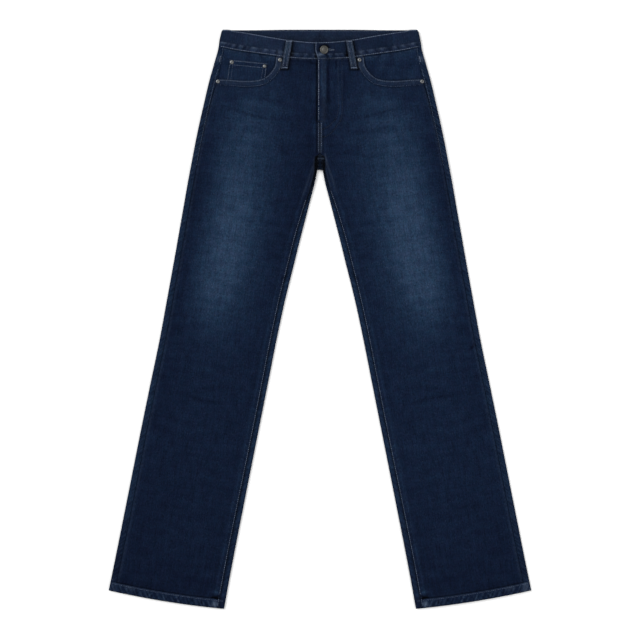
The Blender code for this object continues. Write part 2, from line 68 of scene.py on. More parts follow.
# Draft, as the solids have it: (drop, out) or (out, drop) rows
LENGTH = 1111.7
HEM_OUTER_DROP = 1076.2
HEM_SLANT = LENGTH - HEM_OUTER_DROP
HEM_DEPTH = 17.3
HEM_BELLY = 3.5
CROTCH_DROP = 238.5
FORK_DROP = 268.2
SEAM_GAP = 0.3
HALF_GAP = SEAM_GAP / 2
LEG_END_DROP = HEM_OUTER_DROP - HEM_DEPTH - 0.02
CLOTH = 1.2
BAND_CLOTH = 1.8
HEM_CLOTH = 2.2
TRIM_CLOTH = 1.0
LAYER_GAP = 0.3
LIFT = CLOTH + LAYER_GAP
LIFT_END = 280.0
LIFT_FADE = 55.0
FACING_TOP = LIFT + CLOTH + LAYER_GAP + 0.1 + TRIM_CLOTH
COIN_TOP = FACING_TOP + LAYER_GAP + TRIM_CLOTH
SHIELD_TOP = LIFT + CLOTH + LAYER_GAP + TRIM_CLOTH
ZIP_TOP = SHIELD_TOP + LAYER_GAP + TRIM_CLOTH
LOFT = 5.4
HEM_LOFT = 6.0
CROWN = 0.6
FLY_EDGE = -5.2
FLY_DROP = 175.3
YOKE_SIDE_DROP = 73.0
YOKE_CENTRE_DROP = 111.4
SIDE_BAND_SEAM = 32.5
POCKET_END_DROP = 94.7
OUTLINE: Table = (
    (0, 188.8), (19, 193.0), (38, 196.0), (58, 201.6), (77, 207.0), (96, 212.4), (134, 221.4),
    (173, 230.4), (211, 238.5), (250, 246.0), (288, 253.2), (365, 266.9), (442, 280.5),
    (518, 294.3), (595, 308.5), (672, 324.5), (749, 340.4), (902, 370.9), (1056, 401.9),
    (1076.2, 406.1),
)
INSIDE_LEG: Table = (
    (267.4, 5.0), (275, 6.3), (288, 8.8), (326, 18.5), (365, 28.6), (403, 38.4), (442, 48.0), (518, 66.9),
    (595, 83.5), (672, 98.7), (749, 114.0), (902, 144.4), (1056, 174.3), (1111.7, 184.3),
)
SIDE_STRIP: Table = (
    (32, 10.2), (98, 15.4), (135, 12.2), (250, 11.2), (330, 11.1), (600, 11.4), (750, 11.8),
    (930, 12.4), (1100, 12.0),
)
INSEAM_STRIP: Table = (
    (274, 4.1), (288, 5.0), (300, 5.4), (311, 5.9), (323, 7.3), (334, 8.3), (346, 9.0),
    (365, 9.9), (390, 10.9), (440, 11.5), (500, 11.4), (560, 11.3), (840, 11.3), (905, 11.9),
    (1000, 12.3), (1112, 12.4),
)
CROTCH_CURVE: Table = (
    (CROTCH_DROP, HALF_GAP), (241.5, 6.0), (244, 7.9), (250, 8.6), (258, 9.0), (268, 9.2),
    (274, 9.4),
)
BAND_TOP: Table = (
    (0, 23.4), (19, 22.9), (46, 20.6), (67, 18.1), (96, 13.4), (125, 8.2), (154, 3.2),
    (166, 1.7), (173, -0.1), (180, -0.5), (189, -0.4),
)
BAND_SEAM: Table = (
    (0, 55.6), (50, 54.0), (86, 49.1), (110, 45.8), (131, 42.9), (154, 39.6), (178, 34.9),
    (185, 33.3), (200, 32.5),
)
POCKET_MOUTH = (
    (85.4, 66.2), (90.2, 75.8), (98.9, 86.4), (109.4, 93.5), (124.8, 97.0), (145.9, 97.9),
    (172.8, 95.8),
)
POCKET_START_OUT = 82.6
FRONT_INNER_DROPS = (55.4, 73.0, 88.0, 103.0, 117.0, 130.0, 144.0, 160.0, FLY_DROP)
HIP_ROWS: Table = (
    (POCKET_END_DROP, FLY_DROP), (115, 178.5), (135, 195), (165, 211), (189, 226),
    (203, CROTCH_DROP), (206, 241.5), (208.5, 244), (214.5, 250), (222.5, 258), (234.5, 270),
)

# Wash: how far the indigo has faded down a leg, and where across it the fade lies
FADE_LEVEL: Table = (
    (40, 0.04), (58, 0.06), (111, 0.10), (154, 0.30), (196, 0.42), (238, 0.56), (280, 0.66),
    (323, 0.76), (365, 0.84), (407, 0.87), (449, 0.87), (492, 0.77), (534, 0.53), (576, 0.27),
    (618, 0.11), (660, 0.06), (787, 0.03), (1060, 0.0),
)
FADE_CENTRE: Table = ((100, 0.55), (196, 0.58), (238, 0.61), (323, 0.59), (492, 0.59), (600, 0.55))
FADE_BASE: Table = ((0, 0.15), (300, 0.15), (620, 0.19), (800, 0.17), (1000, 0.12), (1060, 0.09))
GRAIN_TILT = math.radians(9.5)

# How bright the studio makes a white thing that lies flat, and what gloss adds to any colour
STUDIO_LEVEL = 1.36
GLOSS_VEIL = 0.0015


class Side(Enum):
    """The wearer's two sides, by the sign of their x."""

    LEFT = 1
    RIGHT = -1

    @property
    def word(self) -> str:
        """The side as it stands in a piece's name."""
        return self.name.lower()


class Up(Enum):
    """Which way a layer's outer face looks."""

    FRONT = 1
    BACK = -1


# What each leg adds to its wash: on its inner half, its outer half and beside its side seam
LEG_FADE = {
    Side.LEFT: (
        ((60, 0.04), (115, 0.05), (160, 0.05), (215, 0.07), (270, 0.03), (300, 0.05), (330, 0.03),
         (420, 0.01), (560, 0.01), (640, 0.0), (672, 0.03), (740, 0.02), (800, 0.05), (870, 0.03),
         (960, 0.035), (1100, 0.02)),
        ((60, 0.04), (115, 0.07), (160, 0.10), (200, 0.09), (300, 0.05), (420, 0.06), (560, 0.03),
         (700, 0.0), (850, 0.02), (1100, 0.0)),
        ((190, 0.0), (211, -0.14), (250, -0.13), (300, -0.05), (364, -0.07), (395, -0.13),
         (440, -0.11), (490, -0.07), (560, -0.05), (640, 0.0)),
    ),
    Side.RIGHT: (
        ((60, 0.0), (115, 0.04), (150, 0.02), (210, -0.01), (290, -0.05), (430, -0.06), (560, -0.02),
         (640, -0.03), (700, -0.02), (764, -0.01), (860, -0.01), (960, 0.01), (1100, 0.0)),
        ((60, 0.02), (115, 0.10), (180, 0.11), (240, 0.06), (300, 0.0), (364, 0.0), (430, -0.02),
         (560, -0.02), (640, -0.04), (720, -0.04), (800, -0.03), (900, -0.03), (980, -0.01),
         (1100, -0.02)),
        ((180, 0.0), (211, -0.11), (250, -0.12), (300, -0.05), (364, -0.05), (395, -0.10),
         (440, -0.08), (490, -0.09), (549, -0.08), (610, 0.0), (1045, 0.0), (1068, -0.10), (1100, -0.08)),
    ),
}


# Reading the draft


def read(table: Table, at: Array | float) -> Array:
    """Read a table of (position, value) rows along a smooth curve.

    Args:
        table: The rows, in order of position.
        at: Where to read, held inside the table's ends.

    Returns:
        The value at each position.
    """
    where, value = np.array(table, float).T
    slope = np.gradient(value, where)
    at = np.clip(at, where[0], where[-1])
    k = np.clip(np.searchsorted(where, at) - 1, 0, len(where) - 2)
    span = where[k + 1] - where[k]
    t = (at - where[k]) / span
    start = (1 + 2 * t) * (1 - t) ** 2 * value[k] + t * (1 - t) ** 2 * span * slope[k]
    end = t * t * (3 - 2 * t) * value[k + 1] - t * t * (1 - t) * span * slope[k + 1]
    return start + end


def held(share: Array) -> Array:
    """A share, held between 0 and 1."""
    return np.clip(share, 0, 1)


def ramp(at: Array | float, start: float, end: float) -> Array:
    """0 before start, 1 after end, and smooth between them."""
    t = held((np.asarray(at, float) - start) / (end - start))
    return t * t * (3 - 2 * t)


def span(at: Array, start: float, full: float, fading: float, end: float) -> Array:
    """1 between full and fading, and smoothly down to 0 at start and at end."""
    return ramp(at, start, full) * (1 - ramp(at, fading, end))


def bell(distance: Array, width: float) -> Array:
    """1 at no distance, falling off smoothly over a width."""
    return np.exp(-((distance / width) ** 2))


def ripple(at: Array, length: float, seed: float) -> Array:
    """An uneven wave of about one length, between -1 and 1.

    Args:
        at: Where to read it.
        length: About the length of a wave.
        seed: Which of the waves it is.

    Returns:
        The wave there.
    """
    turn = 2 * math.pi * np.asarray(at, float) / length
    swell = np.sin(0.27 * turn + 2.1 * seed)
    wave = np.sin(turn + 1.3 * seed + 1.2 * swell) + 0.55 * np.sin(1.62 * turn + 2.9 * seed)
    return (wave + 0.3 * swell) / 1.85


def outline(drop: Array | float) -> Array:
    """How far out the outer fold is."""
    return read(OUTLINE, drop)


def inside(drop: Array | float) -> Array:
    """How far out a leg's inner fold is, or the centre line above the fork."""
    opening = held((np.asarray(drop, float) - FORK_DROP) / 0.8)
    return HALF_GAP + (read(INSIDE_LEG, drop) - HALF_GAP) * opening


def across_leg(out: Array, drop: Array) -> Array:
    """Share of the way from the inner fold, 0, to the outer one, 1."""
    inner, outer = inside(drop), outline(drop)
    return (out - inner) / (outer - inner)


def side_seam(drop: Array | float) -> Array:
    """How far out the side seam runs on the front."""
    return outline(drop) - read(SIDE_STRIP, drop)


def front_inner(drop: Array | float) -> Array:
    """How far out a front panel's inner edge is, below the fly.

    Args:
        drop: Where to read it.

    Returns:
        The distance out.
    """
    drop = np.asarray(drop, float)
    curve = np.interp(drop, *zip(*CROTCH_CURVE))
    return np.where(drop <= CROTCH_CURVE[-1][0], curve, inside(drop) + read(INSEAM_STRIP, drop))


def underside(drop: Array | float) -> Array:
    """Height of the back layer's lower face."""
    return LIFT * (1 - ramp(drop, LIFT_END, LIFT_END + LIFT_FADE))


def top(out: Array, drop: Array) -> Array:
    """Height of the front layer's upper face where nothing is sewn or creased."""
    share = held(across_leg(np.abs(out), drop))
    return underside(drop) + LOFT + CROWN * np.sin(math.pi * share)


def lying_face(out: Array, drop: Array) -> Array:
    """Height of the face that lies down, where nothing is sewn or creased."""
    return underside(drop)


def level_at(height: float) -> HeightRule:
    """A face at one height."""
    return lambda out, drop: np.full(np.shape(out), height)


def unrolled(run: Array, up: Array) -> Array:
    """Distance along each row of points from its first point."""
    steps = np.hypot(np.diff(run, axis=1, prepend=run[:, :1]), np.diff(up, axis=1, prepend=up[:, :1]))
    return np.cumsum(steps, axis=1)


def rolled(shape: tuple[int, int], depth: float, rims: tuple = ALL_RIMS) -> Array:
    """How far a grid's rims are rolled away from its face.

    Args:
        shape: Rows and columns of the grid.
        depth: How far they are rolled.
        rims: Which rims.

    Returns:
        The depth at each point.
    """
    made = np.zeros(shape)
    for rim in rims:
        made[rim] = depth
    return made


def drawn_in(out: Array) -> Array:
    """Distances out, with the edges that are sewn together on the centre line pressed against it."""
    return np.maximum(out - (HALF_GAP + 0.12) * (1 - ramp(out, 2 * HALF_GAP, 2.0)), 0.0)


def laid(x: Array, drop: Array, height: Array) -> Array:
    """Points in the frame, in metres, from x, drop and height in millimetres."""
    x, drop, height = np.broadcast_arrays(x, drop, height)
    return np.stack([x, LENGTH / 2 - drop, height], axis=-1) * MM


def spread(count: int, dense: float = 0.55) -> Array:
    """Shares from 0 to 1, closer together at both ends."""
    even = np.linspace(0, 1, count)
    return (1 - dense) * even + dense * (0.5 - 0.5 * np.cos(math.pi * even))


@dataclass(frozen=True)
class Line:
    """A line on the cloth through (out, drop) points."""

    points: tuple[tuple[float, float], ...]

    @classmethod
    def through(cls, places: Iterable[tuple[Array, Array]]) -> "Line":
        """A line through computed places."""
        return cls(tuple((float(out), float(drop)) for out, drop in places))

    @classmethod
    def along(cls, edge: Callable[[float], Array], gap: float, drops: Iterable[float]) -> "Line":
        """A line at a gap out from an edge, at the given drops."""
        return cls.through((edge(drop) + gap, drop) for drop in drops)

    def fine(self, step: float = 2.0, smooth: bool = True) -> Array:
        """Even points along the line.

        Args:
            step: Distance between points.
            smooth: Whether the line curves through its points or breaks at them.

        Returns:
            Rows of (out, drop).
        """
        given = np.array(self.points, float)
        length = np.r_[0, np.cumsum(np.hypot(*np.diff(given, axis=0).T))]
        at = np.linspace(0, length[-1], max(2, round(length[-1] / step) + 1))
        if smooth and len(given) > 2:
            return np.stack([read(tuple(zip(length, given[:, k])), at) for k in (0, 1)], axis=1)
        return np.stack([np.interp(at, length, given[:, k]) for k in (0, 1)], axis=1)

    def beside(self, gap: float) -> "Line":
        """The line moved sideways, to the right of its run where out is to the right.

        Args:
            gap: How far it moves.

        Returns:
            The moved line.
        """
        fine = self.fine(3.0)
        run = np.gradient(fine, axis=0)
        run /= np.hypot(*run.T)[:, None]
        moved = fine + gap * np.stack([-run[:, 1], run[:, 0]], axis=1)
        return Line(tuple(map(tuple, moved)))

    def nearest(self, out: Array, drop: Array) -> tuple[Array, Array]:
        """Distance of points from the line, and how far along it they are.

        Args:
            out: Distances out of the points.
            drop: Drops of the points.

        Returns:
            The signed distance, positive to the right of the run, and the distance along.
        """
        fine = self.fine(5.0)
        best = np.full(np.shape(out), 1e6)
        signed, along, passed = best.copy(), np.zeros(np.shape(out)), 0.0
        for (x0, d0), (x1, d1) in zip(fine, fine[1:]):
            length = math.hypot(x1 - x0, d1 - d0)
            ux, ud = (x1 - x0) / length, (d1 - d0) / length
            t = np.clip((out - x0) * ux + (drop - d0) * ud, 0, length)
            dx, dd = out - (x0 + ux * t), drop - (d0 + ud * t)
            far = np.hypot(dx, dd)
            closer = far < best
            best = np.where(closer, far, best)
            signed = np.where(closer, far * np.sign(dd * ux - dx * ud + 1e-9), signed)
            along = np.where(closer, passed + t, along)
            passed += length
        return signed, along


# Relief, abrasion and painted shade


@dataclass
class Relief:
    """What sewing, wearing and laying down have done to plain cloth.

    height is in millimetres above the plain surface. rub is a share of how pale an
    abraded place is, and shade of how dark a place is painted: painted shade in hollows,
    grooves and creases, and painted shadow beside and under edges, loops and trim. fade
    is added to the wash.
    """

    height: Array
    rub: Array
    shade: Array
    fade: Array

    @classmethod
    def flat(cls, like: Array) -> "Relief":
        """Plain cloth in the shape of an array."""
        return cls(*(np.zeros(np.shape(like)) for _ in range(4)))

    def pairs(self, other: "Relief") -> Iterable[tuple[Array, Array]]:
        """Each part of this relief with the same part of another one."""
        return ((getattr(self, part.name), getattr(other, part.name)) for part in fields(self))

    def where(self, share: Array, other: "Relief") -> "Relief":
        """This relief at a share of 1 and another one at a share of 0."""
        return Relief(*(mine * share + its * (1 - share) for mine, its in self.pairs(other)))

    def beside(self, other: "Relief") -> "Relief":
        """This relief in the first columns and another one in the rest."""
        return Relief(*map(np.hstack, self.pairs(other)))


@dataclass(frozen=True)
class Crease:
    """A soft fold: a ridge if it rises, or a trough if rise is below zero.

    line runs through its (out, drop) points, width is its half width and mark is how
    far the wash has faded on it. Below zero, mark darkens the wash and paints shade
    along the fold.
    """

    line: Line
    rise: float
    width: float
    mark: float = 0.0

    def press(self, relief: Relief, out: Array, drop: Array) -> None:
        """Add the fold to the relief at the given points.

        Args:
            relief: What it is added to.
            out: Distances out of the points.
            drop: Drops of the points.
        """
        distance, along = self.line.nearest(out, drop)
        length = float(np.hypot(*np.diff(self.line.fine(5.0), axis=0).T).sum())
        share = along / length
        body = bell(distance, self.width) * span(share, -0.02, 0.35, 0.65, 1.02)
        relief.height += self.rise * body
        patchy = body * (0.8 + 0.45 * ripple(along + 1.7 * distance, 19, 9 * self.width))
        relief.fade += self.mark * patchy
        # Painted shade along a fold whose mark is below zero
        relief.shade += max(-0.6 * self.mark, 0.0) * patchy


@dataclass(frozen=True)
class Seam:
    """How cloth gathers and wears beside a sewn seam.

    pucker is the height of its gathers, pitch their length and reach how far they go
    into the cloth. groove is the dip at the seam itself. rub is how pale its edge is
    worn, over rub_width, fade how far the gathers fade and shade how much painted
    shade their hollows get.
    """

    pucker: float
    pitch: float
    reach: float
    groove: float
    rub: float
    shade: float
    seed: float
    lean: float = 0.6
    rub_width: float = 1.6
    rub_at: float = 0.6
    fade: float = 0.08

    def press(self, relief: Relief, distance: Array, along: Array, weight: Array | float = 1.0) -> None:
        """Add the seam to the relief, from the distance to it and the distance along it.

        Args:
            relief: What it is added to.
            distance: How far the points are from the seam.
            along: How far along it they are.
            weight: Share of it that shows.
        """
        wave = ripple(along + self.lean * distance, self.pitch, self.seed)
        swell = bell(distance, self.reach) * ramp(distance, -0.4, 2.2) * weight
        relief.height += self.pucker * wave * swell
        relief.height -= self.groove * bell(distance, 1.3) * weight
        worn = bell(distance - self.rub_at, self.rub_width) * weight
        relief.rub += self.rub * worn * (0.75 + 0.45 * wave)
        relief.fade += self.fade * swell * wave
        # Painted shade in the hollows of the gathers
        relief.shade += self.shade * swell * held(-wave)


def leg_wash(out: Array, drop: Array, strength: float = 1.0) -> Array:
    """How far the indigo has faded: most on the middle of the thigh. Its fall towards
    the folds also paints the shade of the leg's rounded sides.

    Args:
        out: Distances out of the points.
        drop: Drops of the points.
        strength: Share of the usual fading.

    Returns:
        The wash there.
    """
    off = across_leg(np.abs(out), drop) - read(FADE_CENTRE, drop)
    worn = bell(off, 0.205) * (off > 0) + bell(off, 0.265) * (off <= 0)
    return read(FADE_BASE, drop) + strength * read(FADE_LEVEL, drop) * worn


def grain(out: Array, drop: Array) -> tuple[Array, Array]:
    """Distances across and along the warp, which runs down the middle of a leg.

    Args:
        out: Distances out of the points.
        drop: Drops of the points.

    Returns:
        The distances across and along.
    """
    across = out * math.cos(GRAIN_TILT) - drop * math.sin(GRAIN_TILT)
    along = -out * math.sin(GRAIN_TILT) - drop * math.cos(GRAIN_TILT)
    return across, along


# Finishes


def dyed(red: float, green: float, blue: float) -> tuple[float, float, float]:
    """The shares of light that a colour sends back, if it looks so, 0 to 255, in the studio.

    Args:
        red: Red as it looks.
        green: Green as it looks.
        blue: Blue as it looks.

    Returns:
        The shares of red, green and blue.
    """
    def share(value: float) -> float:
        """One channel's share.

        Args:
            value: The channel as it looks.

        Returns:
            Its share.
        """
        value = value / 255
        lit = value / 12.92 if value <= 0.04045 else ((value + 0.055) / 1.055) ** 2.4
        return max(lit - GLOSS_VEIL, 0.0) / STUDIO_LEVEL
    return share(red), share(green), share(blue)


class Bench:
    """Lays out the nodes of one material."""

    def __init__(self, name: str) -> None:
        """Start a material with a bare shader.

        Args:
            name: The material's name.
        """
        self.material = bpy.data.materials.new(name)
        self.material.use_nodes = True
        self.nodes = self.material.node_tree.nodes
        self.links = self.material.node_tree.links
        self.shader = self.nodes["Principled BSDF"]

    def feed(self, target: bpy.types.NodeSocket, value: object) -> None:
        """Link an input to a socket, or set it to a number, a vector or a colour.

        Args:
            target: The input.
            value: The socket or the value.
        """
        if isinstance(value, bpy.types.NodeSocket):
            self.links.new(value, target)
        else:
            target.default_value = (*value, 1) if target.type == "RGBA" else value

    def add(self, kind: str, inputs: dict[int | str, object] | None = None,
            **settings: object) -> bpy.types.Node:
        """Add a node.

        Args:
            kind: The node's type.
            inputs: What to feed to its inputs, by their names or places.
            settings: Its properties.

        Returns:
            The node.
        """
        node = self.nodes.new(kind)
        for key, value in settings.items():
            setattr(node, key, value)
        for key, value in (inputs or {}).items():
            self.feed(node.inputs[key], value)
        return node

    def set(self, **values: object) -> None:
        """Feed inputs of the shader by their names, with _ for a space."""
        for key, value in values.items():
            self.feed(self.shader.inputs[key.replace("_", " ")], value)

    def math(self, operation: str, first: object, second: object) -> bpy.types.NodeSocket:
        """A sum of two sockets or numbers."""
        return self.add("ShaderNodeMath", {0: first, 1: second}, operation=operation).outputs[0]

    def swing(self, part: bpy.types.NodeSocket, weight: float) -> bpy.types.NodeSocket:
        """A pattern of 0 to 1 turned into a change either way from none."""
        return self.math("MULTIPLY", self.math("SUBTRACT", part, 0.5), weight)

    def between(self, value: bpy.types.NodeSocket, low: float, high: float) -> bpy.types.NodeSocket:
        """0 at low, 1 at high, held between them."""
        inputs = {"Value": value, "From Min": low, "From Max": high}
        return self.add("ShaderNodeMapRange", inputs, clamp=True).outputs["Result"]

    def mix(self, share: object, first: object, second: object) -> bpy.types.NodeSocket:
        """A colour between two colours or sockets."""
        return self.add("ShaderNodeMix", {0: share, 6: first, 7: second}, data_type="RGBA").outputs[2]

    def scaled(self, colour: bpy.types.NodeSocket, factor: bpy.types.NodeSocket) -> bpy.types.NodeSocket:
        """A colour made brighter or darker."""
        inputs = {0: colour, "Scale": factor}
        return self.add("ShaderNodeVectorMath", inputs, operation="SCALE").outputs[0]

    def mapped(self, source: bpy.types.NodeSocket, scale: tuple[float, float, float],
               shift: float = 0.0) -> bpy.types.NodeSocket:
        """A pattern's coordinates, scaled and shifted."""
        inputs = {"Vector": source, "Scale": scale, "Location": (shift, 0.7 * shift, 0)}
        return self.add("ShaderNodeMapping", inputs).outputs["Vector"]

    def noise(self, source: bpy.types.NodeSocket, wide: float, long: float, shift: float,
              detail: float = 1.0) -> bpy.types.NodeSocket:
        """Soft noise whose grains are so many millimetres wide and long.

        Args:
            source: Coordinates in millimetres.
            wide: A grain's width.
            long: A grain's length.
            shift: Where in the noise it starts.
            detail: How many finer layers it has.

        Returns:
            The noise, 0 to 1.
        """
        node = self.add("ShaderNodeTexNoise", {"Scale": 1.0, "Detail": detail}, noise_dimensions="2D")
        self.feed(node.inputs["Vector"], self.mapped(source, (1 / wide, 1 / long, 1), shift))
        return node.outputs[0]

    def bump(self, height: bpy.types.NodeSocket, depth: float, strength: float = 1.0) -> None:
        """Raise the surface by a height of 0 to 1, times a depth in metres."""
        node = self.add("ShaderNodeBump", {"Strength": strength, "Distance": depth, "Height": height})
        self.set(Normal=node.outputs["Normal"])


@dataclass(frozen=True)
class Denim:
    """Indigo twill: ring-spun warp streaks, weft flecks, and a wash and painted shade read from the cloth.

    tones are the colours from unfaded to fully faded, and pale is the colour of an
    abraded place.
    """

    name: str
    tones: tuple[tuple[float, float, float], ...]
    pale: tuple[float, float, float]
    streak: float = 0.5
    fleck: float = 0.24
    twill_pitch: float = 1.05
    roughness: float = 0.86

    def made(self) -> bpy.types.Material:
        """Build the material.

        Returns:
            A material that reads the "grain" map in metres and the "wear_and_shade" attribute: wash, rub
            and painted shade.
        """
        bench = Bench(self.name)
        chart = bench.add("ShaderNodeUVMap", uv_map="grain").outputs["UV"]
        chart = bench.mapped(chart, (1000, 1000, 1))
        wear_and_shade = bench.add("ShaderNodeAttribute", attribute_name="wear_and_shade", attribute_type="GEOMETRY")
        wash, rub, shade = bench.add("ShaderNodeSeparateColor", {0: wear_and_shade.outputs["Color"]}).outputs

        slub = bench.noise(chart, 1.6, 24, 3.0, 1.5)
        streak = bench.noise(chart, 5.0, 46, 5.0, 1.0)
        tick = bench.noise(chart, 9.0, 2.2, 11.0)
        salt = bench.noise(chart, 1.75, 4.4, 23.0, 2.0)
        cloud = bench.noise(chart, 19, 27, 37.0, 2.0)
        whisk = bench.noise(chart, 52, 13, 41.0, 2.0)
        fleck = bench.between(bench.noise(chart, 1.1, 4.4, 51.0), 0.62, 0.80)
        nick = bench.between(bench.noise(chart, 1.5, 4.2, 67.0), 0.62, 0.80)

        ribs = {"Scale": math.pi / (10 * self.twill_pitch), "Distortion": 1.4, "Detail": 1.0,
                "Detail Scale": 0.7}
        twill = bench.add("ShaderNodeTexWave", ribs, wave_type="BANDS", bands_direction="DIAGONAL")
        bench.feed(twill.inputs["Vector"], bench.mapped(chart, (1.55, 0.85, 0)))
        rib = twill.outputs["Fac"]

        blotch = bench.math("ADD", bench.swing(cloud, 0.42), bench.swing(whisk, 0.50))
        blotch = bench.math("MULTIPLY", blotch, bench.math("ADD", wash, 0.25))
        wash = bench.math("ADD", wash, blotch)
        tones = bench.add("ShaderNodeValToRGB", {"Fac": wash})
        ramp_of = tones.color_ramp
        for step in range(1, len(self.tones) - 1):
            ramp_of.elements.new(step / (len(self.tones) - 1))
        for stop, tone in zip(ramp_of.elements, self.tones):
            stop.color = (*tone, 1)

        level = bench.math("MULTIPLY", nick, -0.34)
        for part, weight in ((slub, 1.4), (streak, 0.8), (tick, 0.9), (salt, 1.9), (rib, 0.6)):
            level = bench.math("ADD", level, bench.swing(part, weight * self.streak))
        # The shade channel is painted shade and shadow: it darkens the colour by up to 95 per cent
        level = bench.math("MULTIPLY", bench.math("ADD", level, 1.0),
                           bench.math("SUBTRACT", 1.0, bench.math("MULTIPLY", shade, 0.95)))
        hue = bench.noise(chart, 12, 12, 83.0, 2.0)
        tint = bench.mix(bench.between(hue, 0.3, 0.7), (1.10, 0.97, 1.0), (0.90, 1.02, 1.0))
        both = {0: tones.outputs["Color"], 1: tint}
        tinted = bench.add("ShaderNodeVectorMath", both, operation="MULTIPLY")
        colour = bench.scaled(tinted.outputs[0], level)

        worn = bench.math("MULTIPLY", rub, bench.math("ADD", bench.math("MULTIPLY", salt, 1.5), 0.25))
        worn = bench.math("MINIMUM", worn, 1.0)
        colour = bench.mix(worn, colour, self.pale)
        flecked = bench.math("ADD", bench.math("MULTIPLY", wash, self.fleck), 0.02)
        dust = bench.math("MULTIPLY", fleck, flecked)
        colour = bench.mix(dust, colour, self.pale)

        height = bench.math("ADD", bench.math("MULTIPLY", rib, 0.5), bench.math("MULTIPLY", salt, 0.9))
        height = bench.math("ADD", height, bench.math("MULTIPLY", slub, 0.5))
        bench.bump(height, 0.00016, 0.6)
        bench.set(Base_Color=colour, Roughness=self.roughness, Specular_IOR_Level=0.03,
                  Sheen_Weight=0.006, Sheen_Roughness=0.5)
        return bench.material


@dataclass(frozen=True)
class Thread:
    """Spun polyester thread with a fine twist."""

    name: str
    colour: tuple[float, float, float]

    def made(self) -> bpy.types.Material:
        """Build the material, with a little change of colour from stitch to stitch.

        Returns:
            The material.
        """
        bench = Bench(self.name)
        place = bench.add("ShaderNodeTexCoord").outputs["Object"]
        dye = bench.add("ShaderNodeTexNoise", {"Vector": place, "Scale": 150})
        share = bench.between(dye.outputs[0], 0.36, 0.60)
        dark = tuple(0.42 * value for value in self.colour)
        bench.set(Base_Color=bench.mix(share, dark, self.colour), Roughness=0.62, Specular_IOR_Level=0.25)
        twist = bench.add("ShaderNodeTexWave", {"Vector": place, "Scale": 500}, bands_direction="DIAGONAL")
        bench.bump(twist.outputs[1], 0.00006, 0.5)
        return bench.material


@dataclass(frozen=True)
class Metal:
    """Plated trim, painted darker in its hollows and brighter on its rims: painted shade and highlight,
    together with tarnish and rubbed metal.
    """

    name: str
    bright: tuple[float, float, float]
    tarnish_and_shade: tuple[float, float, float]
    roughness: float

    def made(self) -> bpy.types.Material:
        """Build the material, which reads the "polish_and_shade" attribute: 0 hollow, 1 rim, as painted
        shade and highlight with tarnish and polish.

        Returns:
            The material.
        """
        bench = Bench(self.name)
        place = bench.add("ShaderNodeTexCoord").outputs["Object"]
        polish_and_shade = bench.add("ShaderNodeAttribute", attribute_name="polish_and_shade", attribute_type="GEOMETRY")
        grime = bench.add("ShaderNodeTexNoise", {"Vector": place, "Scale": 900, "Detail": 3})
        share = bench.math("ADD", polish_and_shade.outputs["Fac"], bench.math("MULTIPLY", grime.outputs[0], 0.5))
        share = bench.between(share, 0.35, 1.0)
        # Painted shade with tarnish in the hollows, painted highlight with rubbed metal on the rims
        colour = bench.mix(share, self.tarnish_and_shade, self.bright)
        rough = bench.math("ADD", bench.math("MULTIPLY", grime.outputs[0], 0.25), self.roughness - 0.12)
        bench.bump(grime.outputs[0], 0.00004, 0.5)
        bench.set(Base_Color=colour, Roughness=rough, Metallic=1.0)
        return bench.material


class Finishes:
    """Every material of the garment, made once."""

    def __init__(self) -> None:
        """Build the materials."""
        indigo = (dyed(13, 20, 39), dyed(20, 32, 54), dyed(26, 42, 65),
                  dyed(33, 51, 75), dyed(42, 61, 86))
        banded = (dyed(17, 27, 46), dyed(25, 36, 57), dyed(35, 48, 71), dyed(44, 58, 82))
        looped = (dyed(24, 34, 52), dyed(36, 48, 67), dyed(48, 62, 81), dyed(62, 76, 95))
        ecru = (dyed(70, 79, 93), dyed(82, 91, 104), dyed(98, 106, 118))
        pale = dyed(104, 120, 143)
        self.denim = Denim("denim", indigo, pale).made()
        self.band = Denim("denim_waistband", banded, pale, streak=0.45).made()
        self.trim = Denim("denim_belt_loop", looped, dyed(118, 130, 150), streak=0.55).made()
        self.reverse = Denim("denim_wrong_side", ecru, dyed(150, 156, 164), streak=0.6).made()
        self.tape = Denim("zip_tape", (dyed(16, 20, 30), dyed(24, 29, 40)), dyed(40, 46, 58),
                          streak=0.2, fleck=0.0, twill_pitch=0.8).made()
        self.thread = Thread("thread", dyed(120, 135, 162)).made()
        self.pale_thread = Thread("thread_fly", dyed(168, 182, 204)).made()
        self.dark_thread = Thread("thread_tonal", dyed(40, 51, 72)).made()
        self.rivet = Metal("rivet_nickel", (0.150, 0.155, 0.160), (0.010, 0.012, 0.015), 0.40).made()
        self.button = Metal("button_antique", (0.086, 0.085, 0.080), (0.014, 0.015, 0.017), 0.42).made()


# Building cloth and thread


def shaped(name: str, form: bmesh.types.BMesh, *materials: bpy.types.Material) -> bpy.types.Object:
    """Turn a form into an object of the scene, and free it.

    Args:
        name: The object's name.
        form: Its form.
        materials: Its materials, in the order of their places.

    Returns:
        The object.
    """
    mesh = bpy.data.meshes.new(name)
    form.to_mesh(mesh)
    form.free()
    for material in materials:
        mesh.materials.append(material)
    piece = bpy.data.objects.new(name, mesh)
    bpy.context.scene.collection.objects.link(piece)
    return piece


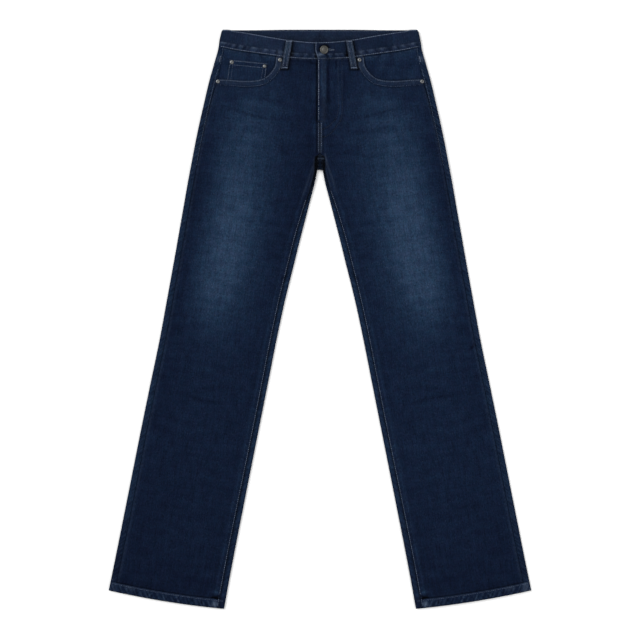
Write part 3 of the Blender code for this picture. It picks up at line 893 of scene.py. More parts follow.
@dataclass
class Cloth:
    """A cloth wall laid out as a grid of points, from one edge to the other.

    node is the CAD node that it stands for. x, drop and height place its outer face, and
    out is the distance out of each point if the cloth were spread flat, which the grain
    follows. wall is its thickness. looks is the way that its first face looks. closed
    joins its last column to its first one, and straight sets its grain upright.
    """

    node: str
    x: Array
    drop: Array
    height: Array
    out: Array
    wash: float | Array
    relief: Relief
    wall: float
    face: bpy.types.Material
    back: bpy.types.Material
    looks: tuple[float, float, float] = (0, 0, 1)
    closed: bool = False
    straight: bool = False
    kind: str = "denim"
    slot: str = "denim"

    def woven(self) -> bpy.types.Object:
        """Make the shell.

        Returns:
            The object, in place of its node, with its wall as a live Solidify.
        """
        rows, columns = np.shape(self.x)
        points = laid(self.x, self.drop, self.height).reshape(-1, 3)
        across, along = (self.out, -self.drop) if self.straight else grain(self.out, self.drop)
        chart = np.stack(np.broadcast_arrays(across, along), axis=-1).reshape(-1, 2) * MM
        wash = self.wash + self.relief.fade
        # Wash, rub and painted shade go onto the mesh as one colour attribute
        wear_and_shade = np.stack(np.broadcast_arrays(wash, self.relief.rub, self.relief.shade), axis=-1)
        wear_and_shade = held(wear_and_shade).reshape(-1, 3)

        form = bmesh.new()
        bmesh.ops.create_grid(form, x_segments=columns - 1, y_segments=rows - 1, size=1)
        worn = form.verts.layers.float_color.new("wear_and_shade")
        charted = form.loops.layers.uv.new("grain")
        form.verts.index_update()
        for vertex in form.verts:
            vertex.co = points[vertex.index]
            vertex[worn] = (*wear_and_shade[vertex.index], 1)
        for face in form.faces:
            face.smooth = True
            for loop in face.loops:
                loop[charted].uv = chart[loop.vert.index]
        if self.closed:
            bmesh.ops.remove_doubles(form, verts=form.verts[:], dist=0.00001)
        form.faces.ensure_lookup_table()
        form.normal_update()
        if form.faces[0].normal.dot(Vector(self.looks)) < 0:
            bmesh.ops.reverse_faces(form, faces=form.faces[:])
        piece = shaped(f"{self.node}_{self.kind}", form, self.face, self.back)
        shell = piece.modifiers.new("wall", "SOLIDIFY")
        shell.thickness = self.wall * MM
        shell.offset = -1
        shell.material_offset = 1
        shell.material_offset_rim = 0
        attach(piece, "root")
        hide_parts(self.node)
        return piece


@dataclass
class Needlework:
    """Rows of stitches, bartacks and the like, gathered in one object.

    stitch, gap, width and rise are the sizes of a stitch in millimetres.
    """

    name: str
    thread: bpy.types.Material
    stitch: float = 2.7
    gap: float = 0.75
    width: float = 0.72
    rise: float = 0.55
    form: bmesh.types.BMesh = field(default_factory=bmesh.new)

    def __post_init__(self) -> None:
        """Make the stitch that the others copy: a bead one unit long, wide and high."""
        bead = bmesh.new()
        bmesh.ops.create_uvsphere(bead, u_segments=6, v_segments=4, radius=0.5)
        self.bead = bpy.data.meshes.new("stitch")
        bead.to_mesh(self.bead)
        bead.free()

    def lay(self, start: Vector, end: Vector, up: Vector, width: float, rise: float) -> None:
        """Lay one stitch between two points in metres.

        Args:
            start: Where the thread comes up.
            end: Where it goes down again.
            up: The way the cloth faces.
            width: Thread's width in millimetres.
            rise: Thread's height in millimetres.
        """
        run = end - start
        length = run.length
        run.normalize()
        aside = up.cross(run).normalized()
        over = run.cross(aside)
        frame_of = Matrix((aside * width * MM, over * rise * MM, run * length)).transposed().to_4x4()
        frame_of.translation = (start + end) / 2
        self.bead.transform(frame_of)
        self.form.from_mesh(self.bead)
        self.bead.transform(frame_of.inverted())

    def row(self, side: Side, line: Line, height: HeightRule, up: Up = Up.FRONT,
            smooth: bool = True, thick: float = 1.0) -> None:
        """Sew a row of stitches along a line.

        Args:
            side: The side of the garment that the line is on.
            line: Where the row runs.
            height: Gives the cloth's height at an (out, drop).
            up: Which way the cloth faces there.
            smooth: Whether the line curves through its points.
            thick: Thread's size against the usual one.
        """
        fine = line.fine(0.5, smooth)
        sunk = 0.08 * up.value
        points = laid(side.value * fine[:, 0], fine[:, 1], height(fine[:, 0], fine[:, 1]) + sunk)
        step, long = round((self.stitch + self.gap) / 0.5), round(self.stitch / 0.5)
        for at in range(0, len(points) - long, step):
            start, end = Vector(points[at]), Vector(points[at + long])
            self.lay(start, end, Vector((0, 0, up.value)), self.width * thick, self.rise * thick)

    def bartack(self, side: Side, line: Line, height: HeightRule, width: float, up: Up = Up.FRONT) -> None:
        """Sew a bar of close zigzag stitches over a line.

        Args:
            side: The side of the garment that the bar is on.
            line: The bar's middle.
            height: Gives the cloth's height at an (out, drop).
            width: The bar's width in millimetres.
            up: Which way the cloth faces there.
        """
        fine = line.fine(0.55, False)
        run = np.gradient(fine, axis=0)
        run /= np.hypot(*run.T)[:, None]
        for k, (at, along) in enumerate(zip(fine, run)):
            lean = 0.2 * along * (1 if k % 2 else -1)
            aside = np.array([-along[1], along[0]]) * width / 2
            ends = np.array([at - aside - lean, at + aside + lean])
            level = height(ends[:, 0], ends[:, 1]) + 0.12 * up.value
            start, end = laid(side.value * ends[:, 0], ends[:, 1], level)
            self.lay(Vector(start), Vector(end), Vector((0, 0, up.value)), 0.62, 0.62)

    def finished(self) -> bpy.types.Object:
        """Turn the rows into one object, riding on the garment.

        Returns:
            The object.
        """
        for face in self.form.faces:
            face.smooth = True
        bpy.data.meshes.remove(self.bead)
        piece = shaped(self.name, self.form, self.thread)
        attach(piece, "root")
        log.info("%s: %d faces", self.name, len(piece.data.polygons))
        return piece


# Sections across a leg


@dataclass
class Section:
    """Slanted sections across a leg, one in each row, parallel to its hem."""

    outer_drop: Array
    slant: Array
    belly: Array

    @classmethod
    def leg(cls, outer_drop: Array) -> "Section":
        """Sections down the leg and seat, by the drop of their outer ends.

        Args:
            outer_drop: The drops.

        Returns:
            The sections.
        """
        outer_drop = np.asarray(outer_drop, float)[:, None]
        slant = np.interp(outer_drop, (YOKE_SIDE_DROP, 95), (YOKE_CENTRE_DROP - YOKE_SIDE_DROP, HEM_SLANT))
        return cls(outer_drop, slant, HEM_BELLY * ramp(outer_drop, 900, LEG_END_DROP))

    @property
    def inner_drop(self) -> Array:
        """Drop of each section's inner end."""
        return self.outer_drop + self.slant

    @property
    def width(self) -> Array:
        """Length of each section."""
        return np.hypot(outline(self.outer_drop) - inside(self.inner_drop), self.slant)

    def at(self, run: Array) -> tuple[Array, Array]:
        """Out and drop at a distance in from the outer fold, along each section.

        Args:
            run: The distance.

        Returns:
            Out and drop.
        """
        share = run / self.width
        outer, inner = outline(self.outer_drop), inside(self.inner_drop)
        drop = self.outer_drop + self.slant * share + self.belly * 4 * share * (1 - share)
        return outer + (inner - outer) * share, drop

    def run_to(self, edge: Callable[[Array], Array], start: Array) -> Array:
        """How far in from the outer fold each section meets an edge.

        Args:
            edge: Gives the edge's distance out at a drop.
            start: A first guess of the run.

        Returns:
            The run in each row.
        """
        run = np.broadcast_to(start, self.width.shape).astype(float)
        lean = self.width / (outline(self.outer_drop) - inside(self.inner_drop))
        for _ in range(9):
            out, drop = self.at(run)
            run = run + (out - edge(drop)) * lean
        return run

    def side_run(self) -> Array:
        """How far in the side seam is."""
        return self.run_to(side_seam, 12.0)

    def inner_strip(self) -> Array:
        """Width of the back panel's strip on the front at the inner fold."""
        run = self.run_to(lambda drop: front_inner(drop) - SEAM_GAP, self.width - INSEAM_STRIP[-1][1])
        return self.width - run


# How many points go round a fold
FOLD_COLUMNS = 9


def folded(radius: float) -> tuple[Array, Array]:
    """Runs and heights of points round a fold, from its top to its bottom."""
    angles = np.linspace(0, math.pi, FOLD_COLUMNS)
    return radius * (1 - np.sin(angles)), radius * (1 + np.cos(angles))


@dataclass
class BackWrap:
    """The back layer's outer face: round the outer fold, under the leg and up round the inner fold.

    curl is how far the inner edge has turned up, for each row.
    """

    section: Section
    curl: Array
    under_columns: int = 54
    strip_columns: int = 7

    def surface(self) -> dict[str, Array]:
        """Lay the wrap out.

        Returns:
            out, drop and height of each point, cut (its place if the cloth were spread
            flat), and on_top, 1 on the strips that show on the front.
        """
        section, width = self.section, self.section.width
        radius, curl = LOFT / 2, self.curl[:, None]
        side_run = section.side_run()
        strip_end = 2 * radius + (section.inner_strip() - 2 * radius) * ramp(curl, 0.4, 1.0)
        fold_in, fold_up = folded(radius)
        rows, strip = len(width), self.strip_columns
        shares = spread(strip + 1, 0.4)
        runs = [side_run + (radius - side_run) * shares[:-1],
                np.broadcast_to(fold_in, (rows, FOLD_COLUMNS))]
        ups = [np.full((rows, strip), LOFT), np.broadcast_to(fold_up, (rows, FOLD_COLUMNS))]
        inner_start = width - 1.2 * radius
        runs.append(radius + (inner_start - radius) * np.linspace(0, 1, self.under_columns + 2)[1:-1])
        ups.append(np.zeros((rows, self.under_columns)))
        curled = FOLD_COLUMNS + strip
        curled_run = [width - fold_in[::-1], width - radius - (strip_end - radius) * shares[1:]]
        curled_up = [np.broadcast_to(fold_up[::-1], (rows, FOLD_COLUMNS)), np.full((rows, strip), LOFT)]
        flat_run = inner_start + (width - inner_start) * np.linspace(0, 1, curled)
        runs.append(flat_run + (np.hstack(curled_run) - flat_run) * curl)
        ups.append(np.hstack(curled_up) * curl)
        run, up = np.hstack(runs), np.hstack(ups)
        short = width - run[:, -curled:].max(axis=1, keepdims=True)
        run[:, -curled:] += short * ramp(np.arange(curled), -1, 5)
        out, drop = section.at(run)
        on_top = held((up - radius) / radius)
        arc = unrolled(run, up)
        middle = strip + FOLD_COLUMNS // 2
        cut = outline(section.outer_drop) + arc[:, middle:middle + 1] - arc
        crown = (top(out, drop) - LOFT - underside(drop)) * on_top
        height = underside(drop) + up + crown
        return {"out": out, "drop": drop, "height": height, "cut": cut, "on_top": on_top}


# Panels


@dataclass
class Panel:
    """A cut piece of the garment on one side, with the finishes it is made in."""

    side: Side
    finishes: Finishes
    kind: ClassVar[str] = "panel"

    @property
    def node(self) -> str:
        """The CAD node that the piece stands for."""
        return f"{self.kind}_{self.side.word}"

    def build(self) -> bpy.types.Object:
        """Weave the piece."""
        raise NotImplementedError

    def stitched(self) -> list[bpy.types.Object]:
        """Sew the piece. One without rows of its own has none."""
        return []

    def weave(self, out: Array, drop: Array, height: Array, cut: Array, wash: float | Array,
              made: Relief, wall: float = CLOTH, **more: object) -> bpy.types.Object:
        """Weave a shell in denim on this side, with the denim's reverse inside.

        Args:
            out: Distance out from the centre.
            drop: Distance below the waist.
            height: Height of the outer face.
            cut: Distance out if the cloth were spread flat.
            wash: How far the dye is washed out.
            made: What is pressed into the cloth.
            wall: Thickness of the cloth.
            more: Other fields of Cloth.

        Returns:
            The shell.
        """
        faces = {"face": self.finishes.denim, "back": self.finishes.reverse, **more}
        return Cloth(self.node, self.side.value * out, drop, height, cut, wash, made, wall, **faces).woven()

    def needlework(self, **sizes: float) -> Needlework:
        """Thread work for this piece."""
        return Needlework(f"{self.node}_stitches", self.finishes.thread, **sizes)


def creases(*rows: tuple) -> tuple[Crease, ...]:
    """Creases from rows of rise, width, mark and then the (out, drop) points of the line."""
    return tuple(Crease(Line(tuple(points)), rise, width, mark) for rise, width, mark, *points in rows)


HIP_CREASES = {
    Side.LEFT: creases(
        (0.22, 5.0, 0.10, (61, 134), (100, 126), (138, 118)),
        (0.36, 5.5, 0.16, (61, 161), (99, 142), (159, 140)),
        (-0.50, 3.4, -0.20, (52, 173), (92, 166), (144, 153), (188, 147)),
        (0.38, 5.0, 0.12, (54, 184), (92, 183), (138, 173), (201, 163)),
        (-0.25, 5.5, -0.14, (48, 198), (111, 192), (154, 182)),
        (0.22, 4.0, 0.08, (42, 216), (80, 216)),
        (-0.30, 4.0, -0.14, (15, 236), (54, 236), (100, 242), (138, 234)),
        (0.24, 4.5, 0.09, (42, 250), (82, 256)),
        (0.18, 7.0, 0.03, (96, 278), (118, 292), (150, 300)),
    ),
    Side.RIGHT: creases(
        (-0.35, 1.9, -0.34, (31, 57), (20, 61), (6, 65.5)),
        (0.24, 4.5, 0.10, (119, 118), (90, 121), (61, 125)),
        (-0.28, 4.0, -0.16, (134, 128), (90, 136), (58, 138)),
        (0.38, 6.5, 0.15, (177, 134), (144, 137), (86, 150), (32, 167)),
        (-0.50, 3.4, -0.20, (198, 145), (157, 155), (129, 165), (90, 171), (46, 170)),
        (0.36, 5.0, 0.12, (192, 154), (148, 166), (100, 179)),
        (-0.28, 5.0, -0.14, (78, 236), (56, 238)),
        (0.20, 7.0, 0.03, (70, 206), (38, 212), (14, 224)),
        (0.20, 4.5, 0.10, (96, 314), (78, 320)),
        (-0.26, 4.0, -0.12, (104, 338), (84, 331), (64, 325)),
    ),
}
LEG_CREASES = {
    Side.LEFT: creases(
        (-0.42, 3.4, -0.20, (163, 724), (206, 708), (240, 703), (272, 701)),
        (0.25, 6.0, 0.05, (168, 736), (212, 719), (262, 712)),
        (-0.50, 3.0, -0.34, (285, 616), (296, 606), (304, 601)),
        (0.20, 12.0, 0.0, (176, 560), (214, 548), (252, 552)),
        (0.18, 14.0, 0.0, (208, 818), (246, 806), (296, 812)),
        (-0.20, 11.0, -0.03, (222, 900), (262, 918), (318, 912)),
        (0.20, 10.0, 0.02, (236, 1004), (262, 968), (270, 930)),
        (-0.16, 9.0, -0.02, (318, 1022), (334, 978), (332, 934)),
    ),
    Side.RIGHT: creases(
        (-0.34, 4.2, -0.13, (272, 697), (225, 711), (172, 718)),
        (0.20, 7.0, 0.03, (262, 712), (222, 726), (184, 730)),
        (0.20, 12.0, 0.0, (132, 522), (170, 508), (214, 512)),
        (0.20, 13.0, 0.0, (296, 780), (262, 796), (214, 792)),
        (-0.18, 10.0, -0.03, (214, 862), (250, 880), (300, 874)),
        (0.22, 9.0, 0.02, (250, 1010), (272, 972), (268, 936)),
        (-0.16, 9.0, -0.02, (330, 1004), (322, 966), (336, 924)),
        (0.16, 10.0, 0.0, (150, 610), (170, 650), (168, 690)),
    ),
}
# Out, drop, size and strength of the faded spot on each hip
FADED_SPOT = {Side.LEFT: (118, 150, 15, 0.10), Side.RIGHT: (42, 96, 14, 0.08)}
# How far in from the outline the painted shade of the valleys lies, on each side of the row on the hip
HIP_VALLEYS = {Side.LEFT: (8.2, 13.8), Side.RIGHT: (7.6, 13.2)}
# Crests beside the inseam where it starts, painted pale: a painted highlight as well as rub
INNER_CREST = {
    Side.LEFT: Line(((9.6, 238), (15.0, 260), (20.6, 277), (28, 299), (38, 328))),
    Side.RIGHT: Line(((13.7, 262), (22.5, 288), (33, 318), (44, 351))),
}
FLY_CREASES = creases(
    (0.34, 1.9, 0.32, (3.6, 50), (3.8, 90), (3.6, 134)),
    (0.10, 3.0, 0.26, (5.6, 92), (6.8, 118), (7.2, 148)),
    (0.30, 2.3, 0.28, (10.0, 50), (10.2, 90), (10.6, 146)),
    (0.26, 1.8, 0.20, (3.4, 140), (3.6, 170), (3.4, 200)),
    (-0.40, 3.0, -0.34, (15.0, 48), (15.2, 100), (15.6, 150)),
    (0.20, 2.2, 0.12, (22.0, 64), (21.6, 96), (22.4, 130)),
    (0.20, 1.8, 0.16, (27.6, 58), (28.0, 76), (27.6, 96)),
    (-0.24, 1.6, -0.34, (30.4, 56), (30.6, 66), (30.2, 78)),
    (0.18, 1.6, 0.14, (33.8, 56), (34.0, 72), (33.6, 92)),
    (0.16, 2.6, 0.08, (36.5, 62), (36.8, 110), (35.0, 150)),
    (0.22, 3.0, -0.10, (46.5, 66), (46.8, 120), (45.0, 160)),
)
SEAT_CREASES = creases(
    (0.9, 7.0, 0.05, (22, 236), (66, 252), (120, 250)),
    (0.7, 8.0, 0.03, (36, 268), (84, 282), (150, 276)),
    (0.8, 6.0, 0.08, (148, 700), (206, 690), (268, 700)),
    (0.6, 7.0, 0.06, (158, 728), (210, 716), (262, 726)),
    (0.5, 6.0, 0.05, (140, 664), (196, 654), (240, 660)),
    (0.5, 11.0, 0.0, (196, 900), (250, 890), (310, 902)),
    (0.5, 12.0, 0.0, (60, 420), (110, 404), (180, 414)),
    (0.4, 9.0, 0.0, (250, 1000), (280, 960), (290, 920)),
)

SIDE_SEAM = Seam(0.34, 10.5, 6.5, 0.30, 0.04, 0.24, 1.7, rub_width=2.0, rub_at=3.2)
INSEAM = Seam(0.34, 9.0, 8.0, 0.40, 0.03, 0.36, 4.1)
POCKET_HEM = Seam(0.18, 7.0, 4.0, 0.05, 0.36, 0.22, 2.3, rub_width=1.1, rub_at=0.1)
BAND_ROPE = Seam(0.22, 8.0, 6.0, 0.5, 0.05, 0.45, 6.6)
CROTCH_SEAM = Seam(0.25, 6.0, 4.0, 0.45, 0.10, 0.55, 8.2)
HEM_PULL = Seam(0.30, 11.0, 9.0, 0.65, 0.0, 0.22, 5.5)
SEAT_SEAM = Seam(0.30, 8.0, 6.0, 0.0, 0.22, 0.30, 3.9)

# How far out from the inseam its row of stitches runs
INSEAM_ROW = 1.1
MOUTH_LINE = Line(((POCKET_START_OUT, 48.9),) + POCKET_MOUTH + ((196.6, POCKET_END_DROP),))
J_OUTER = Line(((42.2, 57.5), (42.2, 120), (41.8, 162), (38.4, 176.6), (30.7, 186), (25, 194),
                (13.4, 203.6), (2.4, 206.6)))
J_INNER = Line(((34.6, 58.5), (34.6, 120), (34.2, 158), (31.4, 167.7), (25, 176.7), (15.4, 185.6),
                (2.4, 191.6)))


LOOP_WIDE = 12.6
FRONT_LOOPS = {Side.LEFT: ((55.7, 19.6), (65.6, 75.1)), Side.RIGHT: ((58.8, 19.6), (68.5, 74.9))}


def loop_shadow(side: Side, out: Array, drop: Array) -> Array:
    """Painted shadow beside and below the belt loop of one side.

    Args:
        side: The side.
        out: Distances out of the points.
        drop: Drops of the points.

    Returns:
        The shade there, 0 to 1.
    """
    (head_out, head_drop), (foot_out, foot_drop) = FRONT_LOOPS[side]
    middle = head_out + (foot_out - head_out) * (drop - head_drop) / (foot_drop - head_drop)
    inner, outer = middle - LOOP_WIDE / 2 - out, out - middle - LOOP_WIDE / 2
    high = span(drop, head_drop - 3, head_drop + 3, foot_drop, foot_drop + 5)
    # The light comes from the wearer's right, so the shadow lies on the left of each loop
    lee, lit = (inner, outer) if side is Side.RIGHT else (outer, inner)
    beside = 0.85 * bell(lee - 1.0, 4.2) * (lee > -2) + 0.65 * bell(lit - 0.7, 2.6) * (lit > -2)
    below = 0.8 * bell(drop - foot_drop - 1.5, 2.6) * bell(out - middle, 0.6 * LOOP_WIDE)
    return held(beside * high + below)


@dataclass
class FrontPanel(Panel):
    """A front panel, from the waistband to the hem. The left one passes the centre line as the fly."""

    kind = "front"
    columns: int = 74
    row_step: float = 3.2
    roll: float = 0.45
    mouth_rows: Table = ((1.9, 0.80), (10.4, 0.40))

    @property
    def fly_out(self) -> float:
        """Where the panel's inner edge is beside the fly."""
        return FLY_EDGE if self.side is Side.LEFT else -FLY_EDGE + SEAM_GAP

    def layout(self) -> tuple[Array, Array]:
        """Lay the panel's rows out, from the band seam to the hem.

        Returns:
            Out and drop of each point, with the outer edge in the first column.
        """
        s = spread(self.columns)[None, :]
        corner = (float(side_seam(POCKET_END_DROP)) - SEAM_GAP, POCKET_END_DROP)
        start = (POCKET_START_OUT, float(read(BAND_SEAM, POCKET_START_OUT)) + SEAM_GAP)
        t = np.r_[0, 0.05, 0.12, 0.22, np.arange(0.35, 8.01, 0.17)][:, None]
        outer_out, outer_drop, inner_drop = (
            read(tuple(enumerate(column)), t)
            for column in (*zip(start, *POCKET_MOUTH, corner), FRONT_INNER_DROPS))
        out_top = outer_out + (self.fly_out - outer_out) * s
        drop_top = outer_drop + (inner_drop - outer_drop) * s
        seam = read(BAND_SEAM, np.abs(out_top)) + SEAM_GAP
        drop_top = seam + (drop_top - seam) * held(t)

        hips = np.r_[np.arange(96.5, 186, self.row_step), np.arange(187, 235.5, 1.3)][:, None]
        inner_drop = np.interp(hips, *zip(*HIP_ROWS))
        flown = 1 - ramp(inner_drop, FLY_DROP, 178.5)
        inner_out = front_inner(inner_drop) + (self.fly_out - front_inner(inner_drop)) * flown
        outer_out = side_seam(hips) - SEAM_GAP
        out_hip = outer_out + (inner_out - outer_out) * s
        drop_hip = hips + (inner_drop - hips) * s

        legs = np.r_[np.arange(237, LEG_END_DROP - 5, self.row_step),
                     LEG_END_DROP - np.array((4.0, 2.6, 1.6, 0.8, 0.0))]
        section = Section.leg(legs)
        first = section.side_run() + SEAM_GAP
        last = section.width - section.inner_strip() - SEAM_GAP
        out_leg, drop_leg = section.at(first + (last - first) * s)
        return np.vstack([out_top, out_hip, out_leg]), np.vstack([drop_top, drop_hip, drop_leg])

    def relief(self, out: Array, drop: Array) -> Relief:
        """What shows on the panel's face at the given points.

        Args:
            out: Distances out of the points.
            drop: Drops of the points.

        Returns:
            The relief there.
        """
        made = Relief.flat(out)
        for crease in HIP_CREASES[self.side] + LEG_CREASES[self.side]:
            crease.press(made, out, drop)
        # Side seam, the painted shade of the valley beside its row on the hip, and the middle of the lap
        below = ramp(drop, 92, 100)
        beside = side_seam(drop) - SEAM_GAP - out
        SIDE_SEAM.press(made, beside, drop, below)
        valley = HIP_VALLEYS[self.side][1]
        made.shade += 0.48 * bell(outline(drop) - out - valley, 1.2) * (1 - ramp(drop, 180, 215))
        made.fade -= 0.07 * bell(out, 24) * span(drop, 105, 140, 280, 320)
        # Inseam, with painted shade in the valleys beside it
        open_leg = ramp(drop, 268, 292)
        inner = out - front_inner(drop)
        INSEAM.press(made, inner, drop, open_leg)
        made.fade += 0.15 * bell(inner - 9.2, 2.6) * open_leg
        made.shade += (0.10 * bell(inner - 3.6, 1.3) + 0.10 * bell(inner - 14.6, 2.2)) * open_leg
        # Under the waistband, with painted shade in its rope's hollows, and the belt loop's painted shadow
        BAND_ROPE.press(made, drop - read(BAND_SEAM, np.abs(out)), out, 1 - ramp(drop, 75, 95))
        made.shade += loop_shadow(self.side, out, drop)
        # Pocket mouth: its folded hem with two rows, and the step beside it, with painted shade along the
        # step
        mouth, along = MOUTH_LINE.nearest(out, drop)
        mouth = np.abs(mouth)
        POCKET_HEM.press(made, mouth, along)
        made.height -= 0.28 * bell(mouth - 1.9, 0.9) + 0.25 * bell(mouth - 10.2, 1.2)
        made.height += 0.25 * ramp(mouth, 11.5, 9.0)
        far = 1 - 0.45 * bell(along - 66, 26)
        made.fade += (0.14 * ripple(along, 15, 3.4) - 0.02) * bell(mouth - 5.5, 3.2) * far
        made.rub += 0.05 * bell(mouth - 5.5, 3.6) * (0.9 + 0.5 * ripple(along, 7, 1.8)) * far
        made.shade += (0.24 + 0.22 * bell(along - 75, 24)) * bell(mouth - 12.0, 1.8)
        # Painted shadow above the hem, and painted shade in the fold at its inner corner, with a paler
        # patch above it
        share = across_leg(out, drop)
        hem_drop = LEG_END_DROP + HEM_SLANT * (1 - share) + HEM_BELLY * 4 * share * (1 - share)
        over = hem_drop - drop
        HEM_PULL.press(made, over, 1.2 * out, 1.0)
        made.shade += 0.32 * bell(over, 3.4) * (0.8 + 0.4 * ripple(out, 23, 5.0))
        corner = bell(inner - 8.5, 7.0)
        made.shade += 0.95 * corner * bell(over - 2.0, 4.4)
        made.fade += 0.40 * corner * bell(over - 12.0, 4.0)
        # The faded spot on the hip, and the rubbed, faded place where the mouth starts
        spot_out, spot_drop, size, lift = FADED_SPOT[self.side]
        made.fade += lift * bell(np.hypot(out - spot_out, 1.4 * (drop - spot_drop)), size)
        made.fade += 0.20 * bell(mouth - 6.0, 4.0) * bell(along - 15, 13)
        made.rub += 0.13 * bell(mouth - 10.4, 2.0) * bell(along - 17, 9)
        made.rub += 0.09 * bell(mouth - 1.9, 1.8) * bell(along - 20, 10)
        self.centre_relief(made, out, drop)
        return made

    def centre_relief(self, made: Relief, out: Array, drop: Array) -> None:
        """Add the fly and the crotch seam.

        Args:
            made: The relief to add to.
            out: Distances out of the points.
            drop: Drops of the points.
        """
        fly = 1 - ramp(drop, FLY_DROP - 2, FLY_DROP + 6)
        seam = span(drop, FLY_DROP, FLY_DROP + 6, 234, 238)
        if self.side is Side.LEFT:
            # The fly's edge and the folds beside it, with painted shade in the folds, a painted shadow
            # beside the edge and another under the waistband
            edge = out - FLY_EDGE
            made.height += (0.75 * (1 - ramp(edge, 2, 46)) - 0.30 * bell(edge - 2.0, 0.9)) * fly
            made.rub += fly * (0.08 * bell(edge - 2.4, 0.9) + 0.035 * bell(out - 7.0, 4.5))
            folds = sum(held(ripple(*wave)) for wave in
                        ((drop + 0.8 * out, 9, 4.0), (drop - out, 23, 1.1)))
            made.shade += fly * 0.20 * folds * bell(out - 8.0, 4.5)
            made.shade += fly * 0.55 * bell(edge + 0.1, 1.1)
            made.shade += 0.35 * bell(drop - 58, 1.8) * bell(out - 18, 9)
            for crease in FLY_CREASES:
                crease.press(made, out, drop)
            # The two rows of the J, with painted shade along their grooves and puckers, the ridge between
            # them, and a darker patch below
            rows = [np.abs(row.nearest(out, drop)[0]) for row in (J_OUTER, J_INNER)]
            for distance in rows:
                made.height -= 0.22 * bell(distance, 1.1)
                blots = 0.7 + 0.8 * ripple(out - drop, 8.5, 2.0) * ramp(drop, 160, 172)
                mark = 0.22 + 0.38 * ramp(drop, 162, 175)
                made.shade += mark * bell(distance, 1.6) * ramp(drop, 120, 150) * blots
            between = bell(rows[0] - 3.8, 3.0) * bell(rows[1] - 3.8, 3.0)
            made.fade += 0.24 * between * ramp(drop, 96, 140) * (0.8 + 0.5 * ripple(drop - out, 17, 1.2))
            made.height += 0.22 * between
            made.shade += 0.26 * bell(out - 14, 8) * span(drop, 122, 138, 164, 178)
        else:
            # The step down to the edge under the fly, with the fly's painted shadow on it, and painted
            # shade at the crotch edge below
            edge = out - self.fly_out
            made.height -= 0.85 * (1 - ramp(edge, 0, 7)) * fly
            made.shade += 0.95 * bell(edge, 2.6) * fly * (1 - 0.35 * bell(drop - 102, 11))
            made.fade += 0.22 * bell(out - 11.5, 4.5) * (bell(drop - 119, 17) + 0.8 * bell(drop - 192, 13))
            short = span(drop, 236, 246, 262, 300)
            made.shade += 0.5 * bell(out - front_inner(drop), 3.0) * short
        # The crotch seam: its dark dots, its raised lap and the painted shade in the ditch beside that
        CROTCH_SEAM.press(made, out, drop, seam)
        dots = ramp(np.cos(2 * math.pi * drop / 4.5), -0.3, 0.6) * (1 - 0.6 * ramp(drop, 216, 222))
        made.shade += 0.95 * seam * dots * bell(out, 2.1)
        made.rub += 0.14 * seam * bell(out - 2.6, 0.9)
        raised = 0.4 * (1 - ramp(out, 3.0, 5.5)) * seam
        made.height += raised
        ditch = 0.62 if self.side is Side.RIGHT else 0.30
        made.shade += seam * ditch * bell(out - 6.2, 1.7)
        made.fade += seam * 0.12 * bell(out - 10.0, 2.2)
        # Where the inseam starts: painted shadow in the gap between the legs, and pale lines on the crests
        # beside it, a painted highlight as well as rub
        inner = out - front_inner(drop)
        deep = span(drop, 232, 244, 262, 290)
        made.shade += (0.85 if self.side is Side.RIGHT else 1.0) * bell(inner, 1.8) * deep
        crest = span(drop, 238, 250, 292, 318)
        made.rub += 0.05 * bell(inner - 3.0, 1.4) * crest
        distance, along = INNER_CREST[self.side].nearest(out, drop)
        pale = 0.09 if self.side is Side.LEFT else 0.06
        made.rub += pale * bell(distance, 1.6) * (1 - ramp(along, 45, 85))

    def height(self, out: Array, drop: Array) -> Array:
        """Height of the panel's face, with all that is pressed into it."""
        return top(out, drop) + self.relief(out, drop).height

    def build(self) -> bpy.types.Object:
        """Weave the panel.

        Returns:
            The shell.
        """
        out, drop = self.layout()
        made = self.relief(out, drop)
        inner_fade, outer_fade, rim_fade = (np.interp(drop, *zip(*table))
                                            for table in LEG_FADE[self.side])
        share = ramp(across_leg(out, drop), 0.25, 0.70)
        wash = leg_wash(out, drop) + inner_fade * (1 - share) + outer_fade * share
        wash += rim_fade * (1 - ramp(side_seam(drop) - out, 12, 42))
        near = np.minimum(side_seam(drop) - out, out - front_inner(drop))
        wash += 0.10 * bell(near, 6.0) * ramp(drop, 300, 600)
        lapped = np.where(drop > FLY_DROP, drawn_in(out), out)
        height = top(out, drop) + made.height - rolled(out.shape, self.roll)
        return self.weave(lapped, drop, height, out, wash, made)

    def stitched(self) -> list[bpy.types.Object]:
        """Sew the panel's own rows: the pocket mouth's two and the inseam's.

        Returns:
            The stitches.
        """
        work = self.needlework()
        mouth = Line(POCKET_MOUTH + ((194.0, 95.2),))
        for gap, thick in self.mouth_rows:
            work.row(self.side, mouth.beside(gap), self.height, thick=thick)
        drops = np.arange(309 if self.side is Side.LEFT else 327, 1092, 18)
        work.row(self.side, Line.along(front_inner, INSEAM_ROW, drops), self.height, thick=1.15)
        return [work.finished()]


